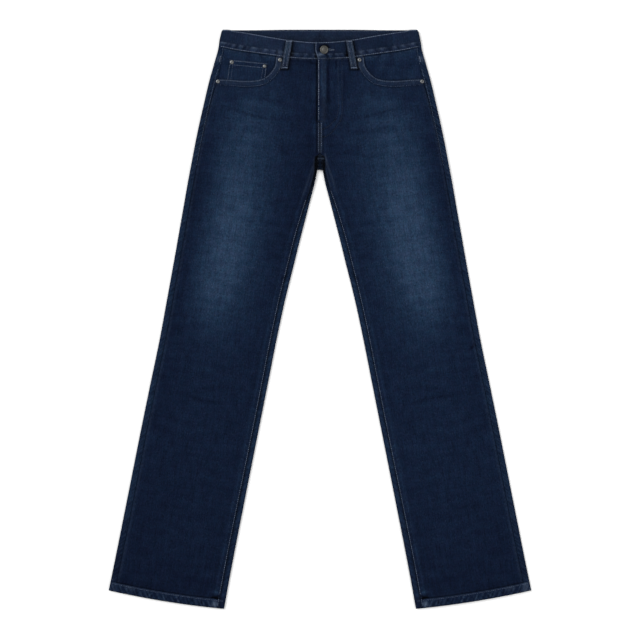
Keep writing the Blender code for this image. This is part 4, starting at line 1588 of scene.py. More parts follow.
@dataclass
class Fly:
    """The fly's stitching, with the shield and the closed zip behind it."""

    finishes: Finishes
    shield: tuple[float, float, float, float] = (-15.0, 36.0, 56.2, 184.0)
    tape: tuple[float, float, float, float] = (-10.0, 24.0, 56.6, 172.0)
    edge_out: float = -2.4
    edge_rows: tuple[tuple[float, float, float], ...] = ((57.5, 146.0, 1.45), (148.5, 174.0, 1.0))
    wash: float = 0.12

    def stitched(self) -> list[bpy.types.Object]:
        """Sew the edge row, the two rows of the J, the crotch's twin rows and the bartack at the fly's
        foot.

        Returns:
            The three sets of stitches.
        """
        left, right = (FrontPanel(side, self.finishes) for side in (Side.LEFT, Side.RIGHT))
        edge = Needlework("fly_edge_stitches", self.finishes.pale_thread)
        for start, end, thick in self.edge_rows:
            line = Line(((self.edge_out, start), (self.edge_out, end)))
            edge.row(Side.LEFT, line, left.height, smooth=False, thick=thick)
        twin = Needlework("fly_stitches", self.finishes.dark_thread)
        for line in (J_OUTER, J_INNER):
            twin.row(Side.LEFT, line, left.height)
        twin.bartack(Side.LEFT, Line(((-4.4, 175.6), (4.2, 175.6))), left.height, 1.0)
        bars = Needlework("crotch_stitches", self.finishes.thread)
        for panel, out, end in ((left, 2.7, 223.0), (right, 2.8, 235.0)):
            line = Line(((out, FLY_DROP + 3.2), (out, end)))
            bars.row(panel.side, line, panel.height, smooth=False, thick=0.8)
        return [edge.finished(), twin.finished(), bars.finished()]

    def strip(self, name: str, box: tuple[float, float, float, float], height: float,
              face: bpy.types.Material, slot: str) -> bpy.types.Object:
        """Weave a plain strip that the fly hides.

        Args:
            name: The CAD node that it stands for.
            box: Its right and left x, and its top and bottom drop.
            height: Height of its upper face.
            face: Its cloth.
            slot: The record's slot of its finish.

        Returns:
            The strip.
        """
        right, left, upper, lower = box
        x, drop = np.meshgrid(np.linspace(right, left, 22), np.linspace(upper, lower, 44))
        made = Relief.flat(x)
        made.height += 0.06 * ripple(drop, 34, 1.2) * ripple(x, 19, 2.2) - 0.06
        edge = np.minimum.reduce([x - right, left - x, drop - upper, lower - drop])
        made.rub += 0.12 * bell(edge, 1.5)
        return Cloth(name, x, drop, height + made.height, x, self.wash, made, TRIM_CLOTH, face, face,
                     straight=True, kind="cloth", slot=slot).woven()

    def build(self) -> list[bpy.types.Object]:
        """Weave the shield and the zip's tape."""
        return [self.strip("fly_shield", self.shield, SHIELD_TOP, self.finishes.denim, "denim"),
                self.strip("zip", self.tape, ZIP_TOP, self.finishes.tape, "zip_tape")]

    def teeth(self) -> bpy.types.Object:
        """Cut the zip's teeth, with the slider at the top and the stop at the bottom.

        Returns:
            The teeth.
        """
        form = bmesh.new()
        right, left, upper, lower = self.tape
        middle = (right + left) / 2
        for k, drop in enumerate(np.arange(upper + 10, lower - 8, 1.5)):
            x = middle + (0.7 if k % 2 else -0.7)
            size = Matrix.Diagonal((2.4 * MM, 0.9 * MM, 0.5 * MM, 1))
            spot = Matrix.Translation(Vector(laid(x, drop, ZIP_TOP)))
            bmesh.ops.create_cube(form, size=1, matrix=spot @ size)
        for drop, long, wide in ((upper + 6, 8.0, 6.0), (lower - 5, 3.5, 4.6)):
            spot = Matrix.Translation(Vector(laid(middle, drop, ZIP_TOP + 0.1)))
            block = bmesh.ops.create_cube(form, size=1, matrix=spot @ Matrix.Diagonal(
                (wide * MM, long * MM, 0.7 * MM, 1)))
            edges = list({e for v in block["verts"] for e in v.link_edges})
            bmesh.ops.bevel(form, geom=edges, offset=0.0002, affect="EDGES", segments=2, profile=0.5,
                            material=-1)
        piece = shaped("zip_teeth", form, self.finishes.button)
        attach(piece, "root")
        return piece


@dataclass
class BackPanel(Panel):
    """A back leg and seat, with its strips that come round both folds to the front."""

    kind = "back"
    row_step: float = 3.4

    def wrap(self) -> dict[str, Array]:
        """Lay the panel out, from the yoke seam to the hem.

        Returns:
            What BackWrap.surface gives.
        """
        drops = np.r_[YOKE_SIDE_DROP + 0.02, 74.0, 76.0, np.arange(79, 186, self.row_step),
                      np.arange(187, 231, 1.5), np.arange(232, 244, 0.75),
                      np.arange(245, LEG_END_DROP - 5, self.row_step),
                      LEG_END_DROP - np.array((4.0, 2.4, 1.2, 0.0))]
        curl = np.interp(drops, (189, 203, 208.5), (0, 0.4, 1))
        return BackWrap(Section.leg(drops), curl).surface()

    def strip_relief(self, out: Array, drop: Array) -> Relief:
        """What shows on the strips beside the side seam and the inseam, on the front.

        Args:
            out: Distances out of the points.
            drop: Drops of the points.

        Returns:
            The relief there.
        """
        made = Relief.flat(out)
        outer = out - side_seam(drop)
        inner = front_inner(drop) - SEAM_GAP - out
        on_side = (out > (inside(drop) + outline(drop)) / 2).astype(float)
        # The strip beside the side seam, roped, with painted shade in its hollows, at the seam and in the
        # valleys on the hip
        rope = ripple(drop - 0.9 * outer, 8.5, 2.6)
        made.height += on_side * 0.34 * rope * ramp(outer, 0, 3)
        low = ramp(drop, 880, 1040)
        deep = 0.28 if self.side is Side.RIGHT else 0.18
        hip = 1 - ramp(drop, 190, 230)
        streaks = (0.20 + 0.12 * hip) * rope * bell(outer - 5, 4)
        made.fade += on_side * (0.22 - 0.02 * hip - deep * low + streaks)
        made.rub += on_side * 0.06 * held(rope) * bell(outer - 6, 4)
        made.shade += on_side * (0.16 * bell(outer, 1.5) + 0.34 * held(-rope) * bell(outer - 4, 4))
        rim = outline(drop) - out
        made.fade -= 0.11 * on_side * bell(rim - 1.5, 3.5) * bell(drop - 172, 30)
        # Painted shade beside the side rivet
        if self.side is Side.LEFT:
            made.shade += 0.30 * bell(np.hypot(out - 202, drop - 102), 4.5)
        near, far = HIP_VALLEYS[self.side]
        made.shade += on_side * (0.40 * bell(rim - near, 1.2) + 0.48 * bell(rim - far, 1.2)) * hip
        made.shade += on_side * 0.14 * bell(outer - 3.6, 2.2) * (1 - hip)
        # The strip beside the inseam, with painted shade at the seam, in its hollows and in the valley
        # beside it
        rope = ripple(drop + 0.7 * inner, 9.5, 7.4)
        made.height += (1 - on_side) * 0.26 * rope * ramp(inner, 0, 3)
        made.fade += (1 - on_side) * (0.20 - 0.12 * low + 0.18 * rope * ramp(inner, 1, 4))
        valley = 0.32 if self.side is Side.RIGHT else 0.08
        made.shade += (1 - on_side) * (0.50 * bell(inner, 1.7) + 0.22 * held(-rope))
        made.shade += (1 - on_side) * valley * bell(inner - 2.2, 1.9)
        made.fade += (1 - on_side) * 0.10 * bell(inner - 6.8, 2.0)
        self.crotch_relief(made, out, drop, 1 - on_side)
        return made

    def crotch_relief(self, made: Relief, out: Array, drop: Array, here: Array) -> None:
        """Paint shadow on the seat where it shows between the front panels and on the inner
        strips below, but for a lit patch in its middle.

        Args:
            made: The relief to add to.
            out: Distances out of the points.
            drop: Drops of the points.
            here: 1 on the inner strip and 0 elsewhere.
        """
        deep = here * (1 - ramp(drop, 268, 284))
        lit = 3.6 if self.side is Side.RIGHT else 7.8
        patch = (1 - ramp(out, lit, lit + 2.0)) * (1 - 0.45 * ramp(drop, 248, 251)) * ramp(drop, 242, 245)
        # Painted shadow: a darker wash and more shade, less of both on the lit patch, with a pale line
        # across it
        made.fade -= 0.15 * deep * (1 - patch)
        made.shade *= 1 - 0.8 * deep * patch
        made.shade += 1.0 * deep * (1 - 0.22 * patch)
        made.rub += 0.20 * deep * bell(drop - 246.9, 1.2) * patch
        below = 0.40 if self.side is Side.RIGHT else 0.26
        made.shade += below * here * span(drop, 268, 284, 284, 350)

    def under_relief(self, out: Array, drop: Array) -> Relief:
        """What shows on the face that lies down, with painted shade in its seams' hollows and
        above the hem. Nothing there stands below the surface.

        Args:
            out: Distances out of the points.
            drop: Drops of the points.

        Returns:
            The relief there.
        """
        made = Relief.flat(out)
        for crease in SEAT_CREASES:
            crease.press(made, out, drop)
        section_share = across_leg(out, drop)
        seat = 1 - ramp(drop, 225, 262)
        SEAT_SEAM.press(made, out, drop, seat)
        yoke = drop - (YOKE_CENTRE_DROP + (YOKE_SIDE_DROP - YOKE_CENTRE_DROP) * section_share)
        SEAT_SEAM.press(made, yoke, out, 1.0)
        hem_drop = LEG_END_DROP + HEM_SLANT * (1 - section_share)
        made.shade += 0.25 * bell(hem_drop - drop, 3.0)
        made.height = np.clip(made.height, 0, 2)
        return made

    def build(self) -> bpy.types.Object:
        """Weave the panel.

        Returns:
            The shell.
        """
        wrap = self.wrap()
        out, drop, on_top = wrap["out"], wrap["drop"], wrap["on_top"]
        strip, under = self.strip_relief(out, drop), self.under_relief(out, drop)
        lower = 1 - held(on_top * 2)
        made = strip.where(on_top, Relief.flat(out)).where(1 - lower, under)
        height = wrap["height"] + made.height
        height[:, 0] -= 0.4
        height[:, -1] -= 0.4 * (wrap["on_top"][:, -1] > 0.5)
        wash = leg_wash(out, drop, 0.75) * lower + 0.15 * (1 - lower)
        return self.weave(drawn_in(out), drop, height, wrap["cut"], wash, made)

    def stitched(self) -> list[bpy.types.Object]:
        """Sew the twin rows of the seat seam and the yoke seam, on the face that lies down.

        Returns:
            The stitches.
        """
        work = self.needlework()
        drops = np.arange(76, 262, 8)
        inset = sum(HIP_VALLEYS[self.side]) / 2 + 0.3
        hip = Line.along(outline, -inset, drops)
        work.row(self.side, hip, lambda out, drop: top(out, drop) + self.strip_relief(out, drop).height,
                 thick=0.6)

        def under(out: Array, drop: Array) -> Array:
            """Height of the face that lies down."""
            return underside(drop) + self.under_relief(out, drop).height

        gaps = (1.7, 7.5) if self.side is Side.LEFT else (1.7,)
        for gap in gaps:
            work.row(self.side, Line(((gap, YOKE_CENTRE_DROP + 3), (gap, 240.0))), under, Up.BACK, False)
        for gap in (1.8, 7.8):
            yoke = Line(((3.0, YOKE_CENTRE_DROP + gap), (204.0, YOKE_SIDE_DROP + gap + 0.6)))
            work.row(self.side, yoke, under, Up.BACK, False)
        return [work.finished()]


@dataclass
class Yoke(Panel):
    """The yoke between the waistband and the seat, with its strip on the front."""

    kind = "yoke"
    rows: int = 20
    wash: float = 0.18

    def build(self) -> bpy.types.Object:
        """Weave the yoke.

        Returns:
            The shell.
        """
        start = SIDE_BAND_SEAM + 0.02
        share = spread(self.rows, 0.5)
        outer = start + (YOKE_SIDE_DROP - 0.02 - start) * share
        inner = start + (YOKE_CENTRE_DROP - 0.02 - start) * share
        section = Section(outer[:, None], (inner - outer)[:, None], np.zeros((self.rows, 1)))
        wrap = BackWrap(section, np.zeros(self.rows)).surface()
        out, drop, height, on_top = wrap["out"], wrap["drop"], wrap["height"], wrap["on_top"]
        near = held((side_seam(outer) + 12 - out.T).T / 12) * (on_top > 0.9)
        seam = read(BAND_SEAM, out) + SEAM_GAP
        drop = drop + np.clip(seam - drop, 0, 3) * (1 - share[:, None]) * near
        made = Relief.flat(out)
        # The strip on the front: roped, with painted shade in its hollows and in the valley beside the side
        # seam, and rubbed at the bartack
        outside = out - side_seam(drop)
        rope = ripple(drop - 0.9 * outside, 8.0, 5.1)
        made.height += on_top * 0.28 * rope * ramp(outside, 0, 3)
        made.fade += on_top * (0.16 + 0.22 * rope)
        made.shade += on_top * (0.26 * held(-rope) + 0.24 * bell(outside - 3.6, 1.3))
        tacked = span(drop, 48, 51, 60, 63)
        made.rub += on_top * 0.15 * bell(outside - 7.2, 2.8) * tacked
        lower = 1 - held(on_top * 2)
        # The centre seam on the face that lies down, with painted shade in its hollows
        centre = Relief.flat(out)
        SEAT_SEAM.press(centre, out, drop)
        made.height += held(centre.height) * lower
        made.rub += centre.rub * lower
        made.shade += centre.shade * lower
        height = height + made.height
        height[:, 0] -= 0.4
        return self.weave(drawn_in(out), drop, height, wrap["cut"], self.wash, made)

    def stitched(self) -> list[bpy.types.Object]:
        """Sew the bartack and the row at the side seam, and the centre row underneath.

        Returns:
            The stitches.
        """
        work = self.needlework()

        def strip(out: Array, drop: Array) -> Array:
            """Height of the strip on the front."""
            return top(out, drop) + 0.1

        work.bartack(self.side, Line.along(side_seam, 3.6, (50.5, 61.0)), strip, 1.5)
        work.row(self.side, Line.along(side_seam, 1.2, np.arange(36, 72, 6)), strip, thick=0.6)
        work.row(self.side, Line(((1.7, 36), (1.7, 109))), lying_face, Up.BACK, False)
        return [work.finished()]


@dataclass
class Waistband(Panel):
    """Half of the two-ply waistband, from its end on the front round to the centre back."""

    kind = "waistband"
    rows: int = 20
    front_columns: int = 96
    back_columns: int = 60
    overlap: Table = ((0.0, -4.4), (0.5, -9.8), (1.0, -9.2))
    underlap: float = 40.0
    overlap_step: float = 1.0
    underlap_step: float = -1.1
    step_run: float = 12.0
    ridge: float = 9.4
    slot_out: float = 7.0
    slot_drop: float = 38.6
    slot_run: float = 19.2
    slot_eye: float = 1.5
    slot_end: float = 0.25

    def upper(self, out: Array) -> Array:
        """Drop of the band's top edge. The left half stands a little higher before its loop."""
        lift = 0.9 if self.side is Side.LEFT else 0.0
        return read(BAND_TOP, np.abs(out)) - lift * bell(out - 100, 34)

    def step(self, out: Array) -> Array:
        """How far the band's end lies above or below the rest of it.

        Args:
            out: Distances out of the points.

        Returns:
            The step there.
        """
        if self.side is Side.LEFT:
            start = self.underlap + 1
            return self.overlap_step * (1 - ramp(out, start, start + self.step_run))
        start = 10.6
        return self.underlap_step * (1 - ramp(out, start, start + 2 * self.step_run))

    def relief(self, out: Array, drop: Array) -> Relief:
        """What shows on the band's face on the front.

        Args:
            out: Distances out of the points.
            drop: Drops of the points.

        Returns:
            The relief there.
        """
        made = Relief.flat(out)
        low, high = read(BAND_SEAM, np.abs(out)), self.upper(out)
        up, down = low - drop, drop - high
        # Ridge along the band seam, with painted shade in its rope's hollows and along a line beside it
        seed = 3.3 if self.side is Side.LEFT else 6.1
        rope = 0.5 * ripple(out + 0.9 * up, 8.6, seed) + 0.7 * ripple(out + 0.4 * up, 20.0, seed + 2)
        ridge = span(up, 1.5, 3.5, self.ridge - 2.0, self.ridge + 0.6)
        made.height += ridge * (0.40 + 0.26 * rope) - 0.30 * bell(up - 0.9, 0.8)
        seen = 1 - 0.9 * bell(out - 18, 11) if self.side is Side.LEFT else 1.0
        made.rub += 0.22 * bell(up - 0.6, 1.0) * (0.8 + 0.7 * ripple(out, 19, 3.3)) * seen
        outer = 1 + 1.0 * ramp(out, 90, 130)
        made.rub += 0.19 * bell(up - self.ridge + 0.8, 1.3) * held(rope + 0.4) * outer
        made.fade += ridge * (0.06 + 0.44 * rope) + 0.16 * bell(up - self.ridge + 0.6, 1.4) * rope
        made.shade += 0.52 * ridge * held(-rope) + 0.16 * bell(up - self.ridge - 2.2, 1.5)
        # Along the top edge, and across the whole band
        fine = ripple(out - 0.5 * down, 6.4, 1.9)
        made.height += 0.12 * fine * bell(down - 2.5, 2.5) - 0.26 * bell(down - 1.3, 0.8)
        made.rub += 0.28 * bell(down - 0.8, 1.0) * (0.8 + 0.5 * fine)
        made.height += 0.10 * ripple(out, 47, 0.8) * ripple(drop + 0.3 * out, 21, 4.4)
        # Round the belt loop: its painted shadow on both sides and below, more painted shadow on both sides
        # near the band seam, and a paler spot outside it
        made.shade += loop_shadow(self.side, out, drop)
        made.shade += 0.50 * bell(out - 51.0, 4.5) * bell(up - 7.0, 9.0)
        made.shade += 0.50 * bell(out - 79.0, 5.0) * bell(drop - 53.0, 4.0)
        made.rub += 0.16 * bell(np.hypot(out - 78.0, drop - 43.5), 4.0)
        if self.side is Side.LEFT:
            # The end over the button: the button's painted shadow round it and above the slot, painted
            # shade along the band's lower edge, and paler rubbed spots below the button
            edge = out - np.interp(up / (low - high), *zip(*self.overlap))
            made.rub += 0.30 * bell(edge - 1.6, 1.0)
            made.height -= 0.26 * bell(edge - 2.2, 0.8)
            button = np.hypot(out - self.slot_out, drop - self.slot_drop)
            upper = 1 - 0.85 * ramp(drop, 39, 44)
            made.shade += (0.85 * bell(button - 8.4, 1.6) + 0.4 * bell(button - 11.5, 2.0)) * upper
            made.shade += 0.50 * bell(np.hypot(out - 14.0, drop - 32.8), 5.0)
            made.rub += 0.34 * bell(np.hypot(out + 1.0, drop - 48.2), 3.0)
            made.rub += 0.24 * bell(out - 3.0, 5.0) * bell(drop - 46.4, 2.8)
            made.shade += 0.5 * bell(up, 2.0) * bell(out - 18, 9)
            made.fade += 0.18 * ramp(out, 120, 150) + 0.12 * bell(out - 88, 22) - 0.22
        else:
            # The end under the button, with the painted shadow of the end that laps over it
            made.shade += 0.80 * (1 - ramp(out, 8.4, 13.0))
            made.fade += 0.15 * ramp(out, 60, 90) - 0.09 - 0.11 * ramp(out, 130, 155)
            made.fade += 0.16 * bell(out - 27, 15) * bell(down - 11, 9)
        return made

    def inner_relief(self, drop: Array, outer: Array) -> Relief:
        """What shows on the fold and the back half, whose inner face shows above the front,
        with painted shade down that face towards the front band and darker near its ends
        at the top edge.

        Args:
            drop: Drop of each row.
            outer: 1 on the outer part of the back half, and 0 elsewhere.

        Returns:
            The relief, in the shape of outer.
        """
        made = Relief.flat(outer)
        made.rub += 0.04 * bell(SIDE_BAND_SEAM - drop, 1.2) + 0.01
        made.fade -= 0.03
        made.shade += 0.36 * span(drop, 3, 17, 22, 31)
        made.shade += 0.30 * outer * (1 - ramp(drop, 3, 10))
        return made

    def height(self, out: Array, drop: Array) -> Array:
        """Height of the band's face on the front."""
        return top(out, drop) + self.step(out) + self.relief(out, drop).height

    def build(self) -> bpy.types.Object:
        """Weave the band in one length: front, round the side fold and along the back.

        Returns:
            The shell.
        """
        rise = spread(self.rows, 0.6)[:, None]
        radius = LOFT / 2
        side_drop = SIDE_BAND_SEAM * (1 - rise)
        fold = outline(side_drop) - radius
        end = np.interp(rise, *zip(*self.overlap)) if self.side is Side.LEFT else -self.underlap + 0 * rise
        t = spread(self.front_columns, 0.35)[None, :]
        front = end + (fold - end) * t
        low, high = read(BAND_SEAM, np.abs(front)), self.upper(front)
        front_drop = low + (high - low) * rise
        made = self.relief(front, front_drop)
        front_height = top(front, front_drop) + self.step(front) + made.height
        angles = np.linspace(0, math.pi, 10)[None, 1:]
        fold_out = fold + radius * np.sin(angles)
        fold_height = LIFT + radius * (1 + np.cos(angles)) + 0 * rise
        back = fold + (HALF_GAP - fold) * np.linspace(0, 1, self.back_columns)[None, 1:]
        back_height = np.full(back.shape, LIFT)
        out = np.hstack([front, fold_out, back])
        corner = ramp(rise, 0.9, 1.0) * (3.0 * np.sin(angles) - 0.9)
        arch = 0.95 * (1 - ramp(back, 55, 135)) + 0.9 * ramp(back, fold - 16, fold - 8)
        peak = ramp(rise, 0.8, 1.0) * arch
        drop = np.hstack([front_drop, side_drop + corner, side_drop - peak])
        height = np.hstack([front_height, fold_height, back_height])
        height[:, 0] -= 0.35
        height[0, :self.front_columns] -= 0.45
        height[-1, :self.front_columns] -= 0.55
        arc = np.hstack([front, fold + radius * angles, 2 * fold + radius * math.pi - back])
        made = made.beside(self.inner_relief(side_drop, np.hstack([0 * fold_out, ramp(back, 80, 130)])))
        wash = 0.36 + 0.12 * ripple(arc, 70, 2.2) * ripple(drop, 40, 1.0)
        on_front = self.front_columns
        out = np.hstack([out[:, :on_front], drawn_in(out[:, on_front:])])
        piece = self.weave(out, drop, height, arc, wash, made, BAND_CLOTH, straight=True,
                           face=self.finishes.band, back=self.finishes.band)
        if self.side is Side.LEFT:
            self.cut_buttonhole(piece)
        return piece

    def cut_buttonhole(self, piece: bpy.types.Object) -> None:
        """Cut the slot for the button's shank through the band's wall.

        Args:
            piece: The band's shell.
        """
        form = bmesh.new()
        bmesh.ops.create_cone(form, cap_ends=True, segments=16, radius1=self.slot_eye * MM,
                              radius2=self.slot_eye * MM, depth=6 * MM)
        for vertex in form.verts:
            if vertex.co.x > 0.0002:
                vertex.co = (vertex.co.x * self.slot_end + self.slot_run * MM, vertex.co.y * self.slot_end,
                             vertex.co.z)
        cutter = shaped("slot_cutter", form)
        cutter.location = laid(self.slot_out, self.slot_drop, 7.0)
        cut = piece.modifiers.new("slot", "BOOLEAN")
        cut.operation = "DIFFERENCE"
        cut.solver = "EXACT"
        cut.object = cutter
        bpy.context.view_layer.update()
        solved = piece.evaluated_get(bpy.context.evaluated_depsgraph_get())
        cut_mesh = bpy.data.meshes.new_from_object(solved)
        piece.modifiers.clear()
        piece.data = cut_mesh
        bpy.data.objects.remove(cutter)

    def stitched(self) -> list[bpy.types.Object]:
        """Sew the rows along both edges, the end row and the buttonhole.

        Returns:
            The stitches.
        """
        work = self.needlework()
        outs = np.linspace(-2.4 if self.side is Side.LEFT else 9.5, 190, 40)
        lower = Line.through((out, read(BAND_SEAM, abs(out)) - 1.0) for out in outs).points
        upper = Line.through((out, self.upper(out) + 1.4) for out in outs[:-1])
        faint = 7 if self.side is Side.LEFT else 1
        work.row(self.side, Line(lower[:faint + 1]), self.height, thick=0.8)
        work.row(self.side, Line(lower[faint:]), self.height, thick=1.55)
        work.row(self.side, upper, self.height, thick=1.52)
        if self.side is Side.LEFT:
            work.row(self.side, Line(((-7.4, 25.4), (-7.9, 38.5), (-3.0, 53.6))), self.height)
            self.sew_buttonhole(work)

        def lining(out: Array, drop: Array) -> Array:
            """Height of the back band's inner face, which shows above the front."""
            return underside(drop) + BAND_CLOTH

        for drop in (2.3, SIDE_BAND_SEAM - 1.7):
            work.row(self.side, Line(((1.0, drop), (186.0, drop))), lying_face, Up.BACK, False)
        work.row(self.side, Line(((1.0, 2.3), (170.0, 2.3))), lining, Up.FRONT, False, 0.45)
        return [work.finished()]

    def sew_buttonhole(self, work: Needlework) -> None:
        """Sew close stitches all round the buttonhole's slot, which narrows away from its eye.

        Args:
            work: The thread work to add to.
        """
        end = self.slot_out + self.slot_run
        tip = self.slot_eye * self.slot_end
        runs = np.arange(1.2, self.slot_run, 0.62)
        halves = self.slot_eye + (tip - self.slot_eye) * runs / self.slot_run
        rims = [(self.slot_out + run, edge * half, 0, edge)
                for edge in (-1, 1) for run, half in zip(runs, halves)]
        turns = np.radians(np.linspace(-75, 75, 7))
        rims += [(end + tip * math.cos(a), tip * math.sin(a), math.cos(a), math.sin(a)) for a in turns]
        for out, aside, aim_out, aim_down in rims:
            foot = np.array([out, self.slot_drop + aside])
            ends = foot + np.array([[0.0], [1.1 if aim_down < 0 else 0.6]]) * (aim_out, aim_down)
            level = self.height(ends[:, 0], ends[:, 1]) + 0.15
            start, stop = laid(ends[:, 0], ends[:, 1], level)
            work.lay(Vector(start), Vector(stop), Vector((0, 0, 1)), 0.6, 0.6)


@dataclass
class Hem(Panel):
    """The turned hem of a leg: a closed ring with a roped edge."""

    kind = "hem"
    rows: int = 16
    top_columns: int = 120
    wash: float = 0.12
    row_at: float = 2.9
    outer_at: float = 1060.0
    inner_at: float = 1095.0

    def relief(self, out: Array, drop: Array, depth: Array, seed: float) -> Relief:
        """What shows on the hem's face, by the depth below its top edge.

        Args:
            out: Distances out of the points.
            drop: Drops of the points.
            depth: How far below the hem's top edge they are.
            seed: Which of the waves the ribs follow.

        Returns:
            The relief there.
        """
        made = Relief.flat(out)
        # Ribs and blots of the roped hem, with painted shade in the ribs' hollows, and darker along the
        # bottom edge
        rib = ripple(out + 0.45 * depth, 8.8, seed)
        blot = ripple(out - 0.8 * depth, 15.0, seed + 1.7)
        body = ramp(depth, 3.2, 6.0)
        made.height += (0.34 * rib + 0.16 * blot) * body - 0.34 * bell(depth - self.row_at, 0.9)
        made.fade += 0.07 + (0.27 * held(rib) + 0.12 * blot) * body
        made.rub += 0.17 * held(rib - 0.25) * body * (1 + blot)
        made.rub += 0.10 * bell(out - 365, 8.0) * bell(depth - 4.5, 4.0)
        made.rub += 0.05 * bell(depth - 1.2, 1.3) * (0.9 + 0.6 * blot)
        made.shade += 0.85 * held(-rib - 0.1) * bell(depth - 10.5, 5.0)
        made.shade += 0.30 * bell(depth - HEM_DEPTH, 2.2)
        # Where the inseam ends, with painted shade in its ditch, and the worn tip
        seam = out - front_inner(drop)
        made.shade += 0.55 * bell(seam + 0.9, 1.2)
        made.fade -= 0.04 * (1 - ramp(seam, -3.0, 0.0))
        tip = 0.42 if self.side is Side.LEFT else 0.10
        patch = 1.1 * bell(seam - 7.5, 4.4) * bell(depth - 10.0, 4.4) + tip * bell(out - 394, 5.5)
        made.rub += 0.42 * patch
        made.shade *= 1 - 0.9 * held(patch)
        made.height += 0.30 * patch * bell(depth - 9, 7)
        return made

    def depth_of(self, out: Array, drop: Array) -> Array:
        """How far below the hem's top edge a point is.

        Args:
            out: Distances out of the points.
            drop: Drops of the points.

        Returns:
            The depth there.
        """
        outer, inner = outline(self.outer_at), inside(self.inner_at)
        share = held((outer - out) / (outer - inner))
        upper = HEM_OUTER_DROP - HEM_DEPTH + HEM_SLANT * share + HEM_BELLY * 4 * share * (1 - share)
        return drop - upper

    def height(self, out: Array, drop: Array) -> Array:
        """Height of the hem's face on the front.

        Args:
            out: Distances out of the points.
            drop: Drops of the points.

        Returns:
            The height there.
        """
        share = held(across_leg(out, drop))
        plain = HEM_LOFT + CROWN * np.sin(math.pi * share)
        return plain + self.relief(out, drop, self.depth_of(out, drop), 2.4).height

    def build(self) -> bpy.types.Object:
        """Weave the ring.

        Returns:
            The shell.
        """
        share = spread(self.rows, 0.6)
        section = Section.leg(HEM_OUTER_DROP - HEM_DEPTH + HEM_DEPTH * share)
        section.belly = np.full((self.rows, 1), HEM_BELLY)
        width, radius = section.width, HEM_LOFT / 2
        rows = len(share)
        fold_in, fold_up = folded(radius)
        flat = np.linspace(0, 1, self.top_columns)[1:-1]
        span = width - 2 * radius
        runs = [np.broadcast_to(fold_in, (rows, FOLD_COLUMNS)), radius + span * flat,
                width - fold_in[::-1], width - radius - span * flat, np.full((rows, 1), fold_in[0])]
        crown = HEM_LOFT + CROWN * np.sin(math.pi * flat)
        ups = [fold_up, 0 * flat, fold_up[::-1], crown, fold_up[:1]]
        run = np.hstack(runs)
        up = np.broadcast_to(np.hstack(ups), run.shape)
        out, drop = section.at(run)
        depth = HEM_DEPTH * share[:, None] + 0 * out
        upper, lower = self.relief(out, drop, depth, 2.4), self.relief(out, drop, depth, 7.7)
        on_top = held((up - radius) / radius)
        lower.height = held(lower.height)
        made = upper.where(on_top, lower)
        edge = 0.75 * ramp(depth, HEM_DEPTH - 1.3, HEM_DEPTH) + 0.3 * (1 - ramp(depth, 0, 0.8))
        height = up + made.height - edge * (2 * on_top - 1)
        arc = unrolled(run, up)
        return self.weave(out, drop, height, arc, self.wash, made, HEM_CLOTH,
                          looks=(self.side.value, 0, 1), closed=True)

    def stitched(self) -> list[bpy.types.Object]:
        """Sew the hem's row on both faces.

        Returns:
            The stitches.
        """
        work = self.needlework()
        section = Section.leg(np.array([HEM_OUTER_DROP - HEM_DEPTH + self.row_at]))
        section.belly = np.full((1, 1), HEM_BELLY)
        run = np.linspace(3.5, float(section.width[0, 0]) - 3.5, 40)[None, :]
        out, drop = section.at(run)
        row = Line.through(zip(out[0], drop[0]))
        work.row(self.side, row, self.height, thick=0.60 if self.side is Side.LEFT else 0.70)
        drops = np.linspace(LENGTH - HEM_DEPTH - 2, LENGTH - 4, 5)
        work.row(self.side, Line.along(front_inner, INSEAM_ROW, drops), self.height)
        work.row(self.side, row, level_at(0.1), Up.BACK)
        return [work.finished()]


@dataclass
class FrontPocket(Panel):
    """The denim behind a front pocket's mouth, with the coin pocket on the right one."""

    kind = "pocket_facing"
    inner: float = 66.0
    bottom: float = 140.0
    tuck: float = 4.0
    seam_rise: float = 1.3
    wash: float = 0.29

    def relief(self, out: Array, drop: Array) -> Relief:
        """What shows in the pocket's mouth.

        Args:
            out: Distances out of the points.
            drop: Drops of the points.

        Returns:
            The relief there.
        """
        made = Relief.flat(out)
        made.height += 0.12 * ripple(out + 0.5 * drop, 52, 1.1) * ripple(drop, 33, 2.0) - 0.12
        made.height = np.minimum(made.height, 0)
        at_side = 1 - ramp(side_seam(drop) + 0.5 - out, 0, 15)
        made.height += self.seam_rise * at_side * ramp(out, self.inner + 40, self.inner + 90)
        mouth, _ = MOUTH_LINE.nearest(out, drop)
        below = drop - read(BAND_SEAM, out)
        # Painted shadow along the mouth's edge and under the waistband
        made.shade += 0.34 * bell(np.abs(mouth), 3.2) + 0.20 * bell(below, 2.0)
        made.fade += 0.10 * ripple(out + 0.4 * drop, 38, 2.6) + 0.12 * bell(below - 7, 6.0)
        made.rub += 0.12 * bell(below - 4.0, 0.9) * held(0.5 + ripple(out, 11, 2.2))
        return made

    def build(self) -> bpy.types.Object:
        """Weave the facing.

        Returns:
            The shell.
        """
        share, level = spread(42, 0.2)[:, None], spread(48, 0.2)[None, :]
        run = float(side_seam(SIDE_BAND_SEAM)) - self.inner
        upper = read(BAND_SEAM, self.inner + run * level) - self.tuck
        upper = np.maximum(upper, SIDE_BAND_SEAM + 2 * SEAM_GAP)
        drop = upper + (self.bottom - upper) * share
        out = self.inner + (side_seam(drop) + self.tuck - self.inner) * level
        made = self.relief(out, drop)
        return self.weave(out, drop, FACING_TOP + made.height, out, self.wash, made, TRIM_CLOTH,
                          straight=True)


